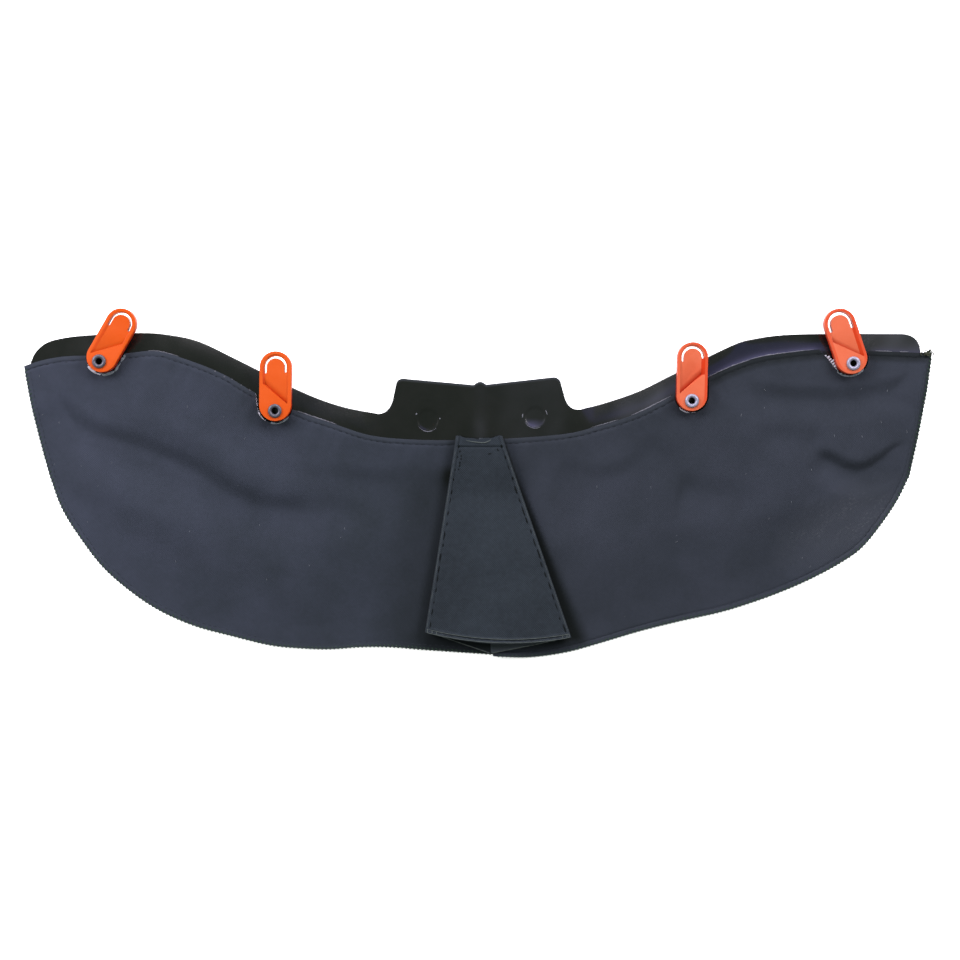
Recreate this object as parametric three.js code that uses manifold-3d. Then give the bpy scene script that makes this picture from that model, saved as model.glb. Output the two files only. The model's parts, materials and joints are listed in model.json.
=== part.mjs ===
// Flash curtain that clips to the lower rim of a face shield. Two cloth panels and a centre box pleat are
// sewn to a moulded collar strip, which carries four swivel clips. It lies face up. Millimetres, +Z up.
import * as THREE from 'three';
import { mergeVertices } from 'three/addons/utils/BufferGeometryUtils.js';
import Module from 'manifold-3d';

const wasm = await Module();
wasm.setup();
const { lerp, smoothstep, clamp, degToRad } = THREE.MathUtils;

// Gaps and walls
const seatGap = 0.3;
const clothThickness = 1.0;
const clothGap = 0.5;
const swingGap = 0.4;
const stripThickness = 1.2;

// Heights that every upright cut passes, the sides of round pieces, and the steps along curves
const cut = { low: -10, high: 30 };
const sides = { boss: 16, hole: 20, dish: 20, rivet: 14 };
const steps = { outline: 3, arc: 8, fold: 16, dish: 3 };

// Collar strip
const stripWidth = 30;
const stripCrown = 2.4;
const stripEndFade = 26;
const tabRidge = { height: 1.0, halfWidth: 9 };
const collarGrid = { columns: 46, rows: 7, margin: 4 };
const dimples = [
  { x: -27.5, y: 34.7, radius: 6.6, depth: 0.7 },
  { x: 31.4, y: 36.3, radius: 6.4, depth: 0.7 },
];

// Clips and rivets, measured from the rivet's axis
const clip = {
  halfWidth: 8.8,
  tipReach: 31.8,
  tailReach: 5.6,
  height: 4.6,
  floor: 1.6,
  rim: 2.4,
  stepHigh: 14.5,
  stepLow: 3.4,
  slotRadius: 5.8,
  slotWidth: 1.5,
  slotLeg: 3.4,
  holeRadius: 2.9,
};
const rivet = { bore: 2.0, barrel: 2.5, head: 3.95, headHeight: 1.0, roll: 0.55, tail: 3.6, tailHeight: 0.8 };
const boss = { radius: 6.4, below: 0.5 };
const notchMargin = 1.5;

// Each clip's rivet, its lean from +Y (clockwise), the side where its step is high, and its notch in the
// cloth: how far that lies to the side of the clip, and the lean to which it opens
const clipPlaces = [
  { x: -206.5, y: 66.3, lean: 29.7, highSide: 1, notchShift: -0.5, notchLean: 29.7 },
  { x: -110.7, y: 39.3, lean: 0.8, highSide: -1, notchShift: -0.2, notchLean: -8 },
  { x: 116.6, y: 44.8, lean: 0.3, highSide: 1, notchShift: 0.2, notchLean: 0.3 },
  { x: 204.6, y: 65.2, lean: -18.5, highSide: -1, notchShift: 1.0, notchLean: -39 },
];

// Upper edge of the collar's band, from the left end to the right, with the tab left out
const leftWave = [
  { x: -245.9, y: 66.6 },
  { x: -242.9, y: 72.4 },
  { x: -236.6, y: 77.4 },
  { x: -226.0, y: 80.0 },
  { x: -211.8, y: 81.4 },
  { x: -185.9, y: 82.5 },
  { x: -169.4, y: 81.4 },
  { x: -152.9, y: 77.6 },
  { x: -130.9, y: 67.1 },
  { x: -97.9, y: 50.6 },
  { x: -75.9, y: 42.4 },
  { x: -55.0, y: 38.0 },
];
const rightWave = [
  { x: 56.1, y: 40.4 },
  { x: 71.5, y: 44.6 },
  { x: 88.6, y: 50.6 },
  { x: 107.8, y: 60.0 },
  { x: 139.2, y: 75.5 },
  { x: 152.4, y: 79.4 },
  { x: 168.3, y: 81.4 },
  { x: 190.9, y: 82.0 },
  { x: 232.1, y: 82.0 },
];
const wave = [...leftWave, ...rightWave];
const leftEndRows = 4;
const collarEnds = { left: -245.9, right: 243.3, corner: 11 };
const tab = { left: -47, right: 48, rise: 17, blend: 16 };

// The tab's edge from left to right, straight to each point or rounded about a bend: the left fillet, side
// and corner, the top with its nub, and the right corner, side and fillet
const tabEdge = [
  { x: -46.8, y: 45.7, bendX: -49.0, bendY: 38.0 },
  { x: -45.0, y: 54.6 },
  { x: -40.8, y: 57.4, bendX: -44.1, bendY: 57.6 },
  { x: -2.2, y: 53.9 },
  { x: 4.4, y: 54.1, bendX: 1.1, bendY: 57.3 },
  { x: 40.6, y: 58.1 },
  { x: 45.5, y: 55.1, bendX: 44.4, bendY: 58.6 },
  { x: 47.9, y: 46.2 },
  { x: 56.1, y: 40.4, bendX: 50.1, bendY: 39.9 },
];

// Ribs of the cloth panels, each from the sewn top edge to the hem
const leftRibs = [
  { topX: -249.3, topY: 64.3, hemX: -235.4, hemY: 3.9 },
  { topX: -238.2, topY: 67.6, hemX: -228.8, hemY: -13.8 },
  { topX: -226.6, topY: 69.3, hemX: -217.8, hemY: -31.4 },
  { topX: -212.3, topY: 69.9, hemX: -203.5, hemY: -49.0 },
  { topX: -193.1, topY: 71.0, hemX: -181.0, hemY: -66.6 },
  { topX: -176.0, topY: 72.1, hemX: -158.4, hemY: -77.6 },
  { topX: -156.8, topY: 66.6, hemX: -134.8, hemY: -84.2 },
  { topX: -139.2, topY: 59.4, hemX: -114.4, hemY: -89.1 },
  { topX: -122.1, topY: 49.5, hemX: -97.9, hemY: -90.8 },
  { topX: -100.1, topY: 39.6, hemX: -81.4, hemY: -91.3 },
  { topX: -79.2, topY: 32.5, hemX: -64.9, hemY: -90.2 },
  { topX: -57.8, topY: 25.9, hemX: -48.4, hemY: -90.2 },
  { topX: -31.4, topY: 23.7, hemX: -26.4, hemY: -91.9 },
  { topX: -0.3, topY: 23.7, hemX: 5.8, hemY: -94.1 },
];
const rightRibs = [
  { topX: 1.4, topY: 23.7, hemX: 8.2, hemY: -95.2 },
  { topX: 24.0, topY: 24.8, hemX: 28.6, hemY: -95.7 },
  { topX: 48.4, topY: 27.0, hemX: 48.4, hemY: -93.0 },
  { topX: 62.7, topY: 30.3, hemX: 64.9, hemY: -88.6 },
  { topX: 85.3, topY: 37.4, hemX: 89.1, hemY: -81.4 },
  { topX: 105.6, topY: 47.3, hemX: 111.1, hemY: -75.9 },
  { topX: 127.1, topY: 58.3, hemX: 133.1, hemY: -71.0 },
  { topX: 139.2, topY: 63.8, hemX: 149.6, hemY: -66.0 },
  { topX: 154.0, topY: 68.8, hemX: 166.1, hemY: -60.0 },
  { topX: 171.6, topY: 71.5, hemX: 182.6, hemY: -52.8 },
  { topX: 188.1, topY: 73.2, hemX: 198.0, hemY: -44.6 },
  { topX: 201.9, topY: 72.9, hemX: 210.7, hemY: -35.8 },
  { topX: 215.6, topY: 72.3, hemX: 221.7, hemY: -22.6 },
  { topX: 232.1, topY: 71.8, hemX: 230.5, hemY: -9.4 },
  { topX: 249.3, topY: 71.4, hemX: 237.1, hemY: 3.9 },
];
const sideBow = 1.1;
const panelGrid = { perRib: 3, rows: 11 };
const panelFall = 16;
const panelPuff = { height: 3.4, pleatSide: 34, full: 90, outerSide: 45 };

// Folds of the lying cloth: a bent line, its rise (a valley falls) and its half width
const leftFolds = [
  { fromX: -234, fromY: 56, viaX: -222, viaY: 36, toX: -192, toY: 26, rise: -3.2, halfWidth: 9 },
  { fromX: -192, fromY: 26, viaX: -168, viaY: 14, toX: -130, toY: -8, rise: -3.4, halfWidth: 9 },
  { fromX: -130, fromY: -8, viaX: -108, viaY: -15, toX: -73, toY: -12, rise: -2.6, halfWidth: 9 },
  { fromX: -196, fromY: 8, viaX: -164, viaY: -8, toX: -126, toY: -28, rise: 2.2, halfWidth: 12 },
  { fromX: -186, fromY: 42, viaX: -150, viaY: 24, toX: -104, toY: 6, rise: 1.8, halfWidth: 12 },
  { fromX: -115, fromY: 10, viaX: -76, viaY: 8, toX: -36, toY: 6, rise: -1.2, halfWidth: 8 },
];
const rightFolds = [
  { fromX: 163, fromY: 22, viaX: 205, viaY: 6, toX: 233, toY: 22, rise: -3.2, halfWidth: 9 },
  { fromX: 168, fromY: 6, viaX: 205, viaY: -10, toX: 232, toY: 6, rise: 2.2, halfWidth: 11 },
  { fromX: 152, fromY: 45, viaX: 195, viaY: 49, toX: 240, toY: 55, rise: -1.4, halfWidth: 8 },
  { fromX: 95, fromY: 20, viaX: 105, viaY: 25, toX: 116, toY: 25, rise: -1.4, halfWidth: 8 },
  { fromX: 60, fromY: 7, viaX: 72, viaY: 6, toX: 82, toY: 7, rise: -1.0, halfWidth: 8 },
  { fromX: 125, fromY: -1, viaX: 142, viaY: -2, toX: 158, toY: -1, rise: -1.2, halfWidth: 8 },
];

// Centre box pleat: the flap's side edges, the line its returns meet on, and its fold radius
const pleat = {
  top: { y: 24.6, left: -11.6, right: 12.9, centre: 0.5, foldRadius: 0.95 },
  hem: { left: -28.6, right: 50.6, centre: 7.0, foldRadius: 2.9 },
  hemLeftY: -82.5,
  hemRightY: -85.3,
  hemCentreY: -92.0,
  hemBow: 4.7,
  crown: 0.8,
  split: 1.0,
};
const pleatGrid = { return: 4, fold: 4, flap: 6, rows: 11 };

// The linear value of a table's column at x
function columnAt(rows, column, x) {
  const found = rows.findIndex((row) => row.x >= x);
  const next = found < 0 ? rows.length - 1 : Math.max(1, found);
  const before = rows[next - 1];
  const after = rows[next];
  return lerp(before[column], after[column], clamp((x - before.x) / (after.x - before.x), 0, 1));
}

function collarLowerEdge(x) {
  return columnAt(wave, 'y', x) - stripWidth;
}

// The collar's upper edge with the tab blended in
function collarUpperEdge(x) {
  const rise = tab.rise * smoothstep(x, tab.left - tab.blend, tab.left);
  return columnAt(wave, 'y', x) + rise * (1 - smoothstep(x, tab.right, tab.right + tab.blend));
}

// How far down the collar a point lies: 0 at the upper edge, 1 at the hidden lower edge
function collarShare(x, y) {
  const upper = collarUpperEdge(x);
  return (upper - y) / (upper - collarLowerEdge(x));
}

// Height of the collar's underside above the floor: an arched band with a ridge up the tab's middle
function collarUnderside(x, y) {
  const share = clamp(collarShare(x, y), 0, 1);
  const fromEnd = Math.min(x - collarEnds.left, collarEnds.right - x);
  const arch = stripCrown * Math.sin(Math.PI * share) * smoothstep(fromEnd, 0, stripEndFade);
  const ridge = tabRidge.height * Math.exp(-((x / tabRidge.halfWidth) ** 2)) * Math.sin(Math.PI * share);
  return arch + ridge;
}

function collarTop(x, y) {
  return collarUnderside(x, y) + stripThickness;
}

// Height of the middle of a cloth layer that lies on the collar and falls to the floor below it
function clothSupport(x, y) {
  const floor = clothThickness / 2;
  const onCollar = collarTop(x, y) + clothGap + floor;
  const below = (collarShare(x, y) - 1) * (collarUpperEdge(x) - collarLowerEdge(x));
  return lerp(onCollar, floor, smoothstep(below, 0, panelFall));
}

// The sum of the folds' rises at a point
function foldRise(folds, x, y) {
  const point = new THREE.Vector2(x, y);
  let rise = 0;
  for (const fold of folds) {
    const line = new THREE.QuadraticBezierCurve(
      new THREE.Vector2(fold.fromX, fold.fromY),
      new THREE.Vector2(fold.viaX, fold.viaY),
      new THREE.Vector2(fold.toX, fold.toY),
    );
    const distance = Math.min(...line.getPoints(steps.fold).map((mark) => mark.distanceTo(point)));
    rise += fold.rise * Math.exp(-((distance / fold.halfWidth) ** 2));
  }
  return rise;
}

// A closed wall of even thickness about a surface(u, v), with u to the right and v towards the top edge
function wall(surface, columns, rows, thickness) {
  const positions = [];
  const index = [];
  const step = 1e-3;
  const perSide = (columns + 1) * (rows + 1);
  for (const side of [0.5, -0.5]) {
    for (let i = 0; i <= columns; i += 1) {
      for (let j = 0; j <= rows; j += 1) {
        const u = i / columns;
        const v = j / rows;
        const along = surface(Math.min(1, u + step), v).sub(surface(Math.max(0, u - step), v));
        const up = surface(u, Math.min(1, v + step)).sub(surface(u, Math.max(0, v - step)));
        const normal = along.cross(up).normalize();
        positions.push(...surface(u, v).addScaledVector(normal, side * thickness).toArray());
      }
    }
  }
  const at = (i, j) => i * (rows + 1) + j;
  for (let i = 0; i < columns; i += 1) {
    for (let j = 0; j < rows; j += 1) {
      const [a, b, c, d] = [at(i, j), at(i + 1, j), at(i + 1, j + 1), at(i, j + 1)];
      index.push(a, b, c, a, c, d);
      index.push(perSide + a, perSide + c, perSide + b, perSide + a, perSide + d, perSide + c);
    }
  }
  const rim = [];
  for (let i = 0; i < columns; i += 1) rim.push(at(i, 0));
  for (let j = 0; j < rows; j += 1) rim.push(at(columns, j));
  for (let i = columns; i > 0; i -= 1) rim.push(at(i, rows));
  for (let j = rows; j > 0; j -= 1) rim.push(at(0, j));
  rim.forEach((p, k) => {
    const q = rim[(k + 1) % rim.length];
    index.push(perSide + p, perSide + q, q, perSide + p, q, p);
  });
  const geometry = new THREE.BufferGeometry();
  geometry.setAttribute('position', new THREE.Float32BufferAttribute(positions, 3));
  geometry.setIndex(index);
  return geometry;
}

// A geometry as a solid for joining and cutting
function solidOf(geometry) {
  const bare = geometry.clone();
  bare.deleteAttribute('normal');
  bare.deleteAttribute('uv');
  const merged = mergeVertices(bare, 1e-4);
  return new wasm.Manifold(new wasm.Mesh({
    numProp: 3,
    vertProperties: new Float32Array(merged.getAttribute('position').array),
    triVerts: new Uint32Array(merged.index.array),
  }));
}

function geometryOf(solid) {
  const mesh = solid.getMesh();
  const geometry = new THREE.BufferGeometry();
  geometry.setAttribute('position', new THREE.Float32BufferAttribute(mesh.vertProperties, 3));
  geometry.setIndex(Array.from(mesh.triVerts));
  return geometry;
}

// A shape pulled up from z = low to z = high
function prism(shape, low, high, curveSegments) {
  const geometry = new THREE.ExtrudeGeometry(shape, { depth: high - low, bevelEnabled: false, curveSegments });
  return geometry.translate(0, 0, low);
}

// An upright round plug
function plug(radius, low, high, faces) {
  const geometry = new THREE.CylinderGeometry(radius, radius, high - low, faces);
  return geometry.rotateX(Math.PI / 2).translate(0, 0, (low + high) / 2);
}

// Height of the flat seat under a clip, which lifts it over the cloth beside it
function seatHeight(spot) {
  return collarTop(spot.x, spot.y) + clothGap + clothThickness + swingGap;
}

// Collar outline: two waves, the tab with its filleted sides and nub, and the lower edge under the cloth
function collarOutline() {
  const shape = new THREE.Shape();
  const asVector = (row) => new THREE.Vector2(row.x, row.y);
  shape.moveTo(leftWave[0].x, leftWave[0].y);
  shape.splineThru(leftWave.slice(1).map(asVector));
  for (const { x, y, bendX, bendY } of tabEdge) {
    if (bendX === undefined) shape.lineTo(x, y);
    else shape.quadraticCurveTo(bendX, bendY, x, y);
  }
  shape.splineThru(rightWave.slice(1).map(asVector));
  const upperRight = rightWave.at(-1).y;
  const lowerRight = upperRight - stripWidth;
  const lowerLeft = leftWave[leftEndRows].y - stripWidth;
  const { left, right, corner } = collarEnds;
  shape.quadraticCurveTo(right, upperRight, right, upperRight - corner);
  shape.lineTo(right, lowerRight + corner);
  shape.quadraticCurveTo(right, lowerRight, rightWave.at(-1).x, lowerRight);
  const hidden = wave.slice(leftEndRows, -1).reverse();
  shape.splineThru(hidden.map((row) => new THREE.Vector2(row.x, row.y - stripWidth)));
  shape.quadraticCurveTo(left, lowerLeft, left, lowerLeft + corner);
  shape.closePath();
  return shape;
}

// A shallow round dish, square to the tab's face, to cut out of it
function dishCutter({ x, y, radius, depth }) {
  const reach = 1.25;
  const profile = [];
  for (let k = 0; k <= steps.dish; k += 1) {
    const share = (reach * k) / steps.dish;
    profile.push(new THREE.Vector2(radius * share, depth * (share ** 2 - 1)));
  }
  profile.push(new THREE.Vector2(radius * reach, stripThickness), new THREE.Vector2(0, stripThickness));
  const slopeX = (collarTop(x + radius, y) - collarTop(x - radius, y)) / (2 * radius);
  const slopeY = (collarTop(x, y + radius) - collarTop(x, y - radius)) / (2 * radius);
  const tilt = new THREE.Quaternion().setFromUnitVectors(
    new THREE.Vector3(0, 0, 1),
    new THREE.Vector3(-slopeX, -slopeY, 1).normalize(),
  );
  const dish = new THREE.LatheGeometry(profile, sides.dish).rotateX(Math.PI / 2);
  return dish.applyQuaternion(tilt).translate(x, y, collarTop(x, y));
}

function collarSolid() {
  const { columns, rows, margin } = collarGrid;
  const slab = wall((u, v) => {
    const x = lerp(collarEnds.left - margin, collarEnds.right + margin, u);
    const y = lerp(collarLowerEdge(x) - margin, collarUpperEdge(x) + 2 * margin, v);
    return new THREE.Vector3(x, y, collarUnderside(x, y) + stripThickness / 2);
  }, columns, rows, stripThickness);
  let solid = solidOf(slab).intersect(solidOf(prism(collarOutline(), cut.low, cut.high, steps.outline)));
  for (const spot of dimples) solid = solid.subtract(solidOf(dishCutter(spot)));
  for (const spot of clipPlaces) {
    const low = collarUnderside(spot.x, spot.y) - boss.below;
    const stud = plug(boss.radius, low, seatHeight(spot), sides.boss).translate(spot.x, spot.y, 0);
    const bore = plug(clip.holeRadius, cut.low, cut.high, sides.hole).translate(spot.x, spot.y, 0);
    solid = solid.add(solidOf(stud)).subtract(solidOf(bore));
  }
  return geometryOf(solid);
}

// The U-shaped cut in the cloth round a clip's lower end, along the given lean
function notchCutter(spot, lean) {
  const half = clip.halfWidth + notchMargin;
  const arcCentre = clip.halfWidth - clip.tailReach;
  const shape = new THREE.Shape();
  shape.moveTo(half, clip.tipReach);
  shape.lineTo(-half, clip.tipReach);
  shape.lineTo(-half, arcCentre);
  shape.absarc(0, arcCentre, half, Math.PI, 2 * Math.PI, false);
  shape.closePath();
  const cutter = prism(shape, cut.low, cut.high, steps.arc).translate(spot.notchShift, 0, 0);
  return cutter.rotateZ(degToRad(-lean)).translate(spot.x, spot.y, 0);
}

// A cloth panel: ruled along its ribs, puffed up inside its edges, folded, and notched for its clips
function panelSolid(ribs, folds, spots) {
  const topLine = new THREE.CatmullRomCurve3(ribs.map((rib) => new THREE.Vector3(rib.topX, rib.topY, 0)));
  const hemLine = new THREE.CatmullRomCurve3(ribs.map((rib) => new THREE.Vector3(rib.hemX, rib.hemY, 0)));
  const outerX = Math.max(...ribs.map((rib) => Math.abs(rib.topX)));
  const surface = (u, v) => {
    const point = hemLine.getPoint(u).lerp(topLine.getPoint(u), v);
    const nearSide = smoothstep(Math.abs(topLine.getPoint(u).x), outerX - panelPuff.outerSide, outerX);
    point.x += Math.sign(point.x) * nearSide * sideBow * Math.sin(Math.PI * v);
    const fromPleat = Math.abs(point.x - lerp(pleat.hem.centre, pleat.top.centre, v));
    const open = smoothstep(fromPleat, panelPuff.pleatSide, panelPuff.full);
    const inside = open * smoothstep(outerX - fromPleat, 0, panelPuff.outerSide) * Math.sin(Math.PI * v);
    const rise = inside * (panelPuff.height + foldRise(folds, point.x, point.y));
    point.z = clothSupport(point.x, point.y) + Math.max(0, rise);
    return point;
  };
  const sheet = wall(surface, (ribs.length - 1) * panelGrid.perRib, panelGrid.rows, clothThickness);
  let solid = solidOf(sheet);
  for (const spot of spots) {
    for (const lean of [spot.lean, spot.notchLean]) solid = solid.subtract(solidOf(notchCutter(spot, lean)));
  }
  return geometryOf(solid);
}

// The stretches of the pleat's section in order: left return, fold, flap, fold, right return
const pleatZones = [
  { zone: 'return', side: -1, from: 0, to: 1 },
  { zone: 'fold', side: -1, from: 0, to: 1 },
  { zone: 'flap', side: 0, from: 0, to: 1 },
  { zone: 'fold', side: 1, from: 1, to: 0 },
  { zone: 'return', side: 1, from: 1, to: 0 },
];
const pleatColumns = pleatZones.reduce((sum, { zone }) => sum + pleatGrid[zone], 0);

// The stretch that a position along the section falls in, and how far along it
function pleatStation(u) {
  let step = u * pleatColumns;
  for (const { zone, side, from, to } of pleatZones) {
    if (step <= pleatGrid[zone]) return { zone, side, share: lerp(from, to, step / pleatGrid[zone]) };
    step -= pleatGrid[zone];
  }
  return { zone: 'return', side: 1, share: 0 };
}

// The flap's hem, bowed down between its corners
function flapHem(across) {
  const chord = lerp(pleat.hemLeftY, pleat.hemRightY, across);
  return chord - pleat.hemBow * 4 * across * (1 - across);
}

// The pleat's surface: u along the folded section, v from the hem to the sewn top
function pleatPoint(u, v) {
  const sized = (name) => lerp(pleat.hem[name], pleat.top[name], v);
  const [left, right, centre, radius] = ['left', 'right', 'centre', 'foldRadius'].map(sized);
  const { zone, side, share } = pleatStation(u);
  const corner = side < 0 ? 0 : 1;
  const foldStart = (side < 0 ? left : right) - side * radius;
  let x = lerp(left + radius, right - radius, share);
  let lift = 2 * radius + pleat.crown * 4 * share * (1 - share);
  let hemY = flapHem(share);
  if (zone === 'fold') {
    x = foldStart + side * radius * Math.sin(Math.PI * share);
    lift = radius * (1 - Math.cos(Math.PI * share));
    hemY = flapHem(corner);
  } else if (zone === 'return') {
    x = lerp(centre + side * pleat.split, foldStart, share);
    lift = 0;
    hemY = lerp(pleat.hemCentreY, flapHem(corner), share);
  }
  const y = lerp(hemY, pleat.top.y, v);
  return new THREE.Vector3(x, y, clothSupport(x, y) + clothThickness + clothGap + lift);
}

// The clip's outline: two round ends about the rivet's axis
function clipOutline() {
  const half = clip.halfWidth;
  const tailCentre = clip.halfWidth - clip.tailReach;
  const tipCentre = clip.tipReach - clip.halfWidth;
  const shape = new THREE.Shape();
  shape.absarc(0, tipCentre, half, 0, Math.PI, false);
  shape.absarc(0, tailCentre, half, Math.PI, 2 * Math.PI, false);
  shape.closePath();
  return shape;
}

// The recess inside the rim, closed below by the diagonal step
function recessOutline(highSide) {
  const half = clip.halfWidth - clip.rim;
  const tipCentre = clip.tipReach - clip.halfWidth;
  const rightEnd = highSide > 0 ? clip.stepHigh : clip.stepLow;
  const leftEnd = highSide > 0 ? clip.stepLow : clip.stepHigh;
  const shape = new THREE.Shape();
  shape.moveTo(-half, leftEnd);
  shape.lineTo(half, rightEnd);
  shape.absarc(0, tipCentre, half, 0, Math.PI, false);
  shape.closePath();
  return shape;
}

// The U-shaped slot that frees the spring tongue
function slotOutline() {
  const outer = clip.slotRadius + clip.slotWidth / 2;
  const inner = clip.slotRadius - clip.slotWidth / 2;
  const tipCentre = clip.tipReach - clip.halfWidth;
  const legEnd = tipCentre - clip.slotLeg;
  const shape = new THREE.Shape();
  shape.moveTo(outer, legEnd);
  shape.absarc(0, tipCentre, outer, 0, Math.PI, false);
  shape.lineTo(-outer, legEnd);
  shape.lineTo(-inner, legEnd);
  shape.absarc(0, tipCentre, inner, Math.PI, 0, true);
  shape.lineTo(inner, legEnd);
  shape.closePath();
  return shape;
}

function clipSolid(highSide) {
  const solid = solidOf(prism(clipOutline(), 0, clip.height, steps.arc))
    .subtract(solidOf(prism(recessOutline(highSide), clip.floor, cut.high, steps.arc)))
    .subtract(solidOf(prism(slotOutline(), cut.low, cut.high, steps.arc)))
    .subtract(solidOf(plug(clip.holeRadius, cut.low, cut.high, sides.hole)));
  return geometryOf(solid);
}

// A hollow rivet with a rolled head above the clip and a flared tail under the collar
function rivetSolid(headSeat, tailSeat) {
  const profile = [
    [rivet.bore, tailSeat - rivet.tailHeight],
    [rivet.tail, tailSeat - rivet.tailHeight],
    [rivet.tail, tailSeat],
    [rivet.barrel, tailSeat],
    [rivet.barrel, headSeat],
    [rivet.head, headSeat],
    [rivet.head, headSeat + rivet.headHeight - rivet.roll],
    [rivet.head - rivet.roll, headSeat + rivet.headHeight],
    [rivet.bore + rivet.roll, headSeat + rivet.headHeight],
    [rivet.bore, headSeat + rivet.headHeight - rivet.roll],
    [rivet.bore, tailSeat - rivet.tailHeight],
  ].map(([radius, height]) => new THREE.Vector2(radius, height));
  const turned = new THREE.LatheGeometry(profile, sides.rivet).rotateX(Math.PI / 2);
  return geometryOf(solidOf(turned));
}

const plastic = new THREE.MeshStandardMaterial({ color: 0x262826, roughness: 0.38, metalness: 0 });
const cloth = new THREE.MeshStandardMaterial({ color: 0x3c404c, roughness: 0.9, metalness: 0 });
const orange = new THREE.MeshStandardMaterial({ color: 0xf0622a, roughness: 0.45, metalness: 0 });
const metal = new THREE.MeshStandardMaterial({ color: 0x8f8e98, roughness: 0.35, metalness: 0.8 });

const hood = new THREE.Group();

function place(name, geometry, material) {
  const mesh = new THREE.Mesh(geometry, material);
  mesh.name = name;
  hood.add(mesh);
  return mesh;
}

place('collar_strip', collarSolid(), plastic);
place('left_panel', panelSolid(leftRibs, leftFolds, clipPlaces.slice(0, 2)), cloth);
place('right_panel', panelSolid(rightRibs, rightFolds, clipPlaces.slice(2)), cloth);
place('pleat', wall(pleatPoint, pleatColumns, pleatGrid.rows, clothThickness), cloth);
clipPlaces.forEach((spot, k) => {
  const underside = seatHeight(spot) + seatGap;
  const swivel = place(`clip_${k + 1}`, clipSolid(spot.highSide), orange);
  swivel.position.set(spot.x, spot.y, underside);
  swivel.rotation.z = degToRad(-spot.lean);
  const headSeat = underside + clip.height + seatGap;
  const tailSeat = collarUnderside(spot.x, spot.y) - boss.below - seatGap;
  place(`rivet_${k + 1}`, rivetSolid(headSeat, tailSeat), metal).position.set(spot.x, spot.y, 0);
});

// The origin is the middle of the footprint, on the floor
const box = new THREE.Box3().setFromObject(hood, true);
const middle = box.getCenter(new THREE.Vector3());
hood.position.set(-middle.x, -middle.y, -box.min.z);

export default hood;
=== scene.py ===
"""Dresses the flash curtain: collar strip, cloth panels, box pleat, swivel clips, rivets and needlework.

Sizes and places are millimetres of the drawing, unless a name ends in _m. The drawing lies over the frame
so that its first clip turns about the frame's first pivot.
"""
import json
import logging
import math
from collections.abc import Callable
from dataclasses import dataclass, field
from enum import Enum

import bmesh
import bpy
import numpy as np
from mathutils import Matrix, Vector


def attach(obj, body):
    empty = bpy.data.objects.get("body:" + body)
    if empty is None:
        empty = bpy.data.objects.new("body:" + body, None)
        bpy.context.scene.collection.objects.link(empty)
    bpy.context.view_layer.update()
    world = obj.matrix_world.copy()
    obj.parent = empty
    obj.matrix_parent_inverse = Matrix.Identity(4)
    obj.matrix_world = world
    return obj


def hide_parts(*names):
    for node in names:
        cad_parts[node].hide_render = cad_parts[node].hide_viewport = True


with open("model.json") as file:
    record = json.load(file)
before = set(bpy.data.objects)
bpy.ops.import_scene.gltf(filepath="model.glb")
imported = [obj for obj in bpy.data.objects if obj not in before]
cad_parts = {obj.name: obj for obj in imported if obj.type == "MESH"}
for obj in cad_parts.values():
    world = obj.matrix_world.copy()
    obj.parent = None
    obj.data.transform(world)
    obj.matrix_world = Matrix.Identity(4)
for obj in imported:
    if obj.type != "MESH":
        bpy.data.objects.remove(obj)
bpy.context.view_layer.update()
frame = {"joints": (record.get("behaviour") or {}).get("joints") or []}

LOG = logging.getLogger("flash_curtain")
Array = np.ndarray
Pair = tuple[float, float]
Line = tuple[Pair, ...]
Colour = tuple[float, float, float]
Piece = bpy.types.Object
Material = bpy.types.Material
Socket = bpy.types.NodeSocket

MM = 0.001
CLOTH_THICKNESS = 1.0
LAYER_GAP = 0.3
GRAIN_HEIGHT_M = 0.0001
VECTOR = "NodeSocketVector"
VALUE = "NodeSocketFloat"
CURTAIN = "curtain"
# Amount of pale tone a piece keeps: real wear on cloth rims and hems, painted light on the pleat's right
# return, painted sheen on the strip.
WEAR_AND_LIGHT = "wear_and_light"
# Amount of painted shade that a piece keeps, for its finish to darken it.
PAINTED_SHADE = "painted_shade"
# Amount of painted sheen and painted reflection on the strip.
PAINTED_SHEEN = "painted_sheen"
POLISH = "polish"
# Amount of painted shade on a clip's walls and rim.
PAINTED_WALL_SHADE = "crease"
PIVOTS_M = {joint["name"]: Vector(joint["pos_m"]) for joint in frame["joints"]}


class Side(Enum):
    """Which half of the curtain a piece belongs to."""

    LEFT = -1
    RIGHT = 1


class StepLean(Enum):
    """The side on which a clip's diagonal step stands high."""

    HIGH_LEFT = -1
    HIGH_RIGHT = 1


class Slot(Enum):
    """The record's material slots."""

    STRIP = "strip_plastic"
    CLOTH = "cloth"
    CLIP = "clip_plastic"
    RIVET = "rivet_metal"


@dataclass(frozen=True)
class ClipSpot:
    """Where a clip is riveted to the strip, how it leans and how the cloth is notched round it.

    Leans are degrees clockwise.
    """

    number: int
    x: float
    y: float
    lean: float
    step: StepLean
    notch_shift: float
    notch_lean: float
    slot_legs: Pair
    step_low: float = 3.8

    @property
    def pivot_m(self) -> Vector:
        """The clip's pivot in the frame."""
        return PIVOTS_M[f"clip_{self.number}_swivel"]

    @property
    def body(self) -> str:
        """The body that the clip turns with."""
        return f"swivel_{self.number}"


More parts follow.
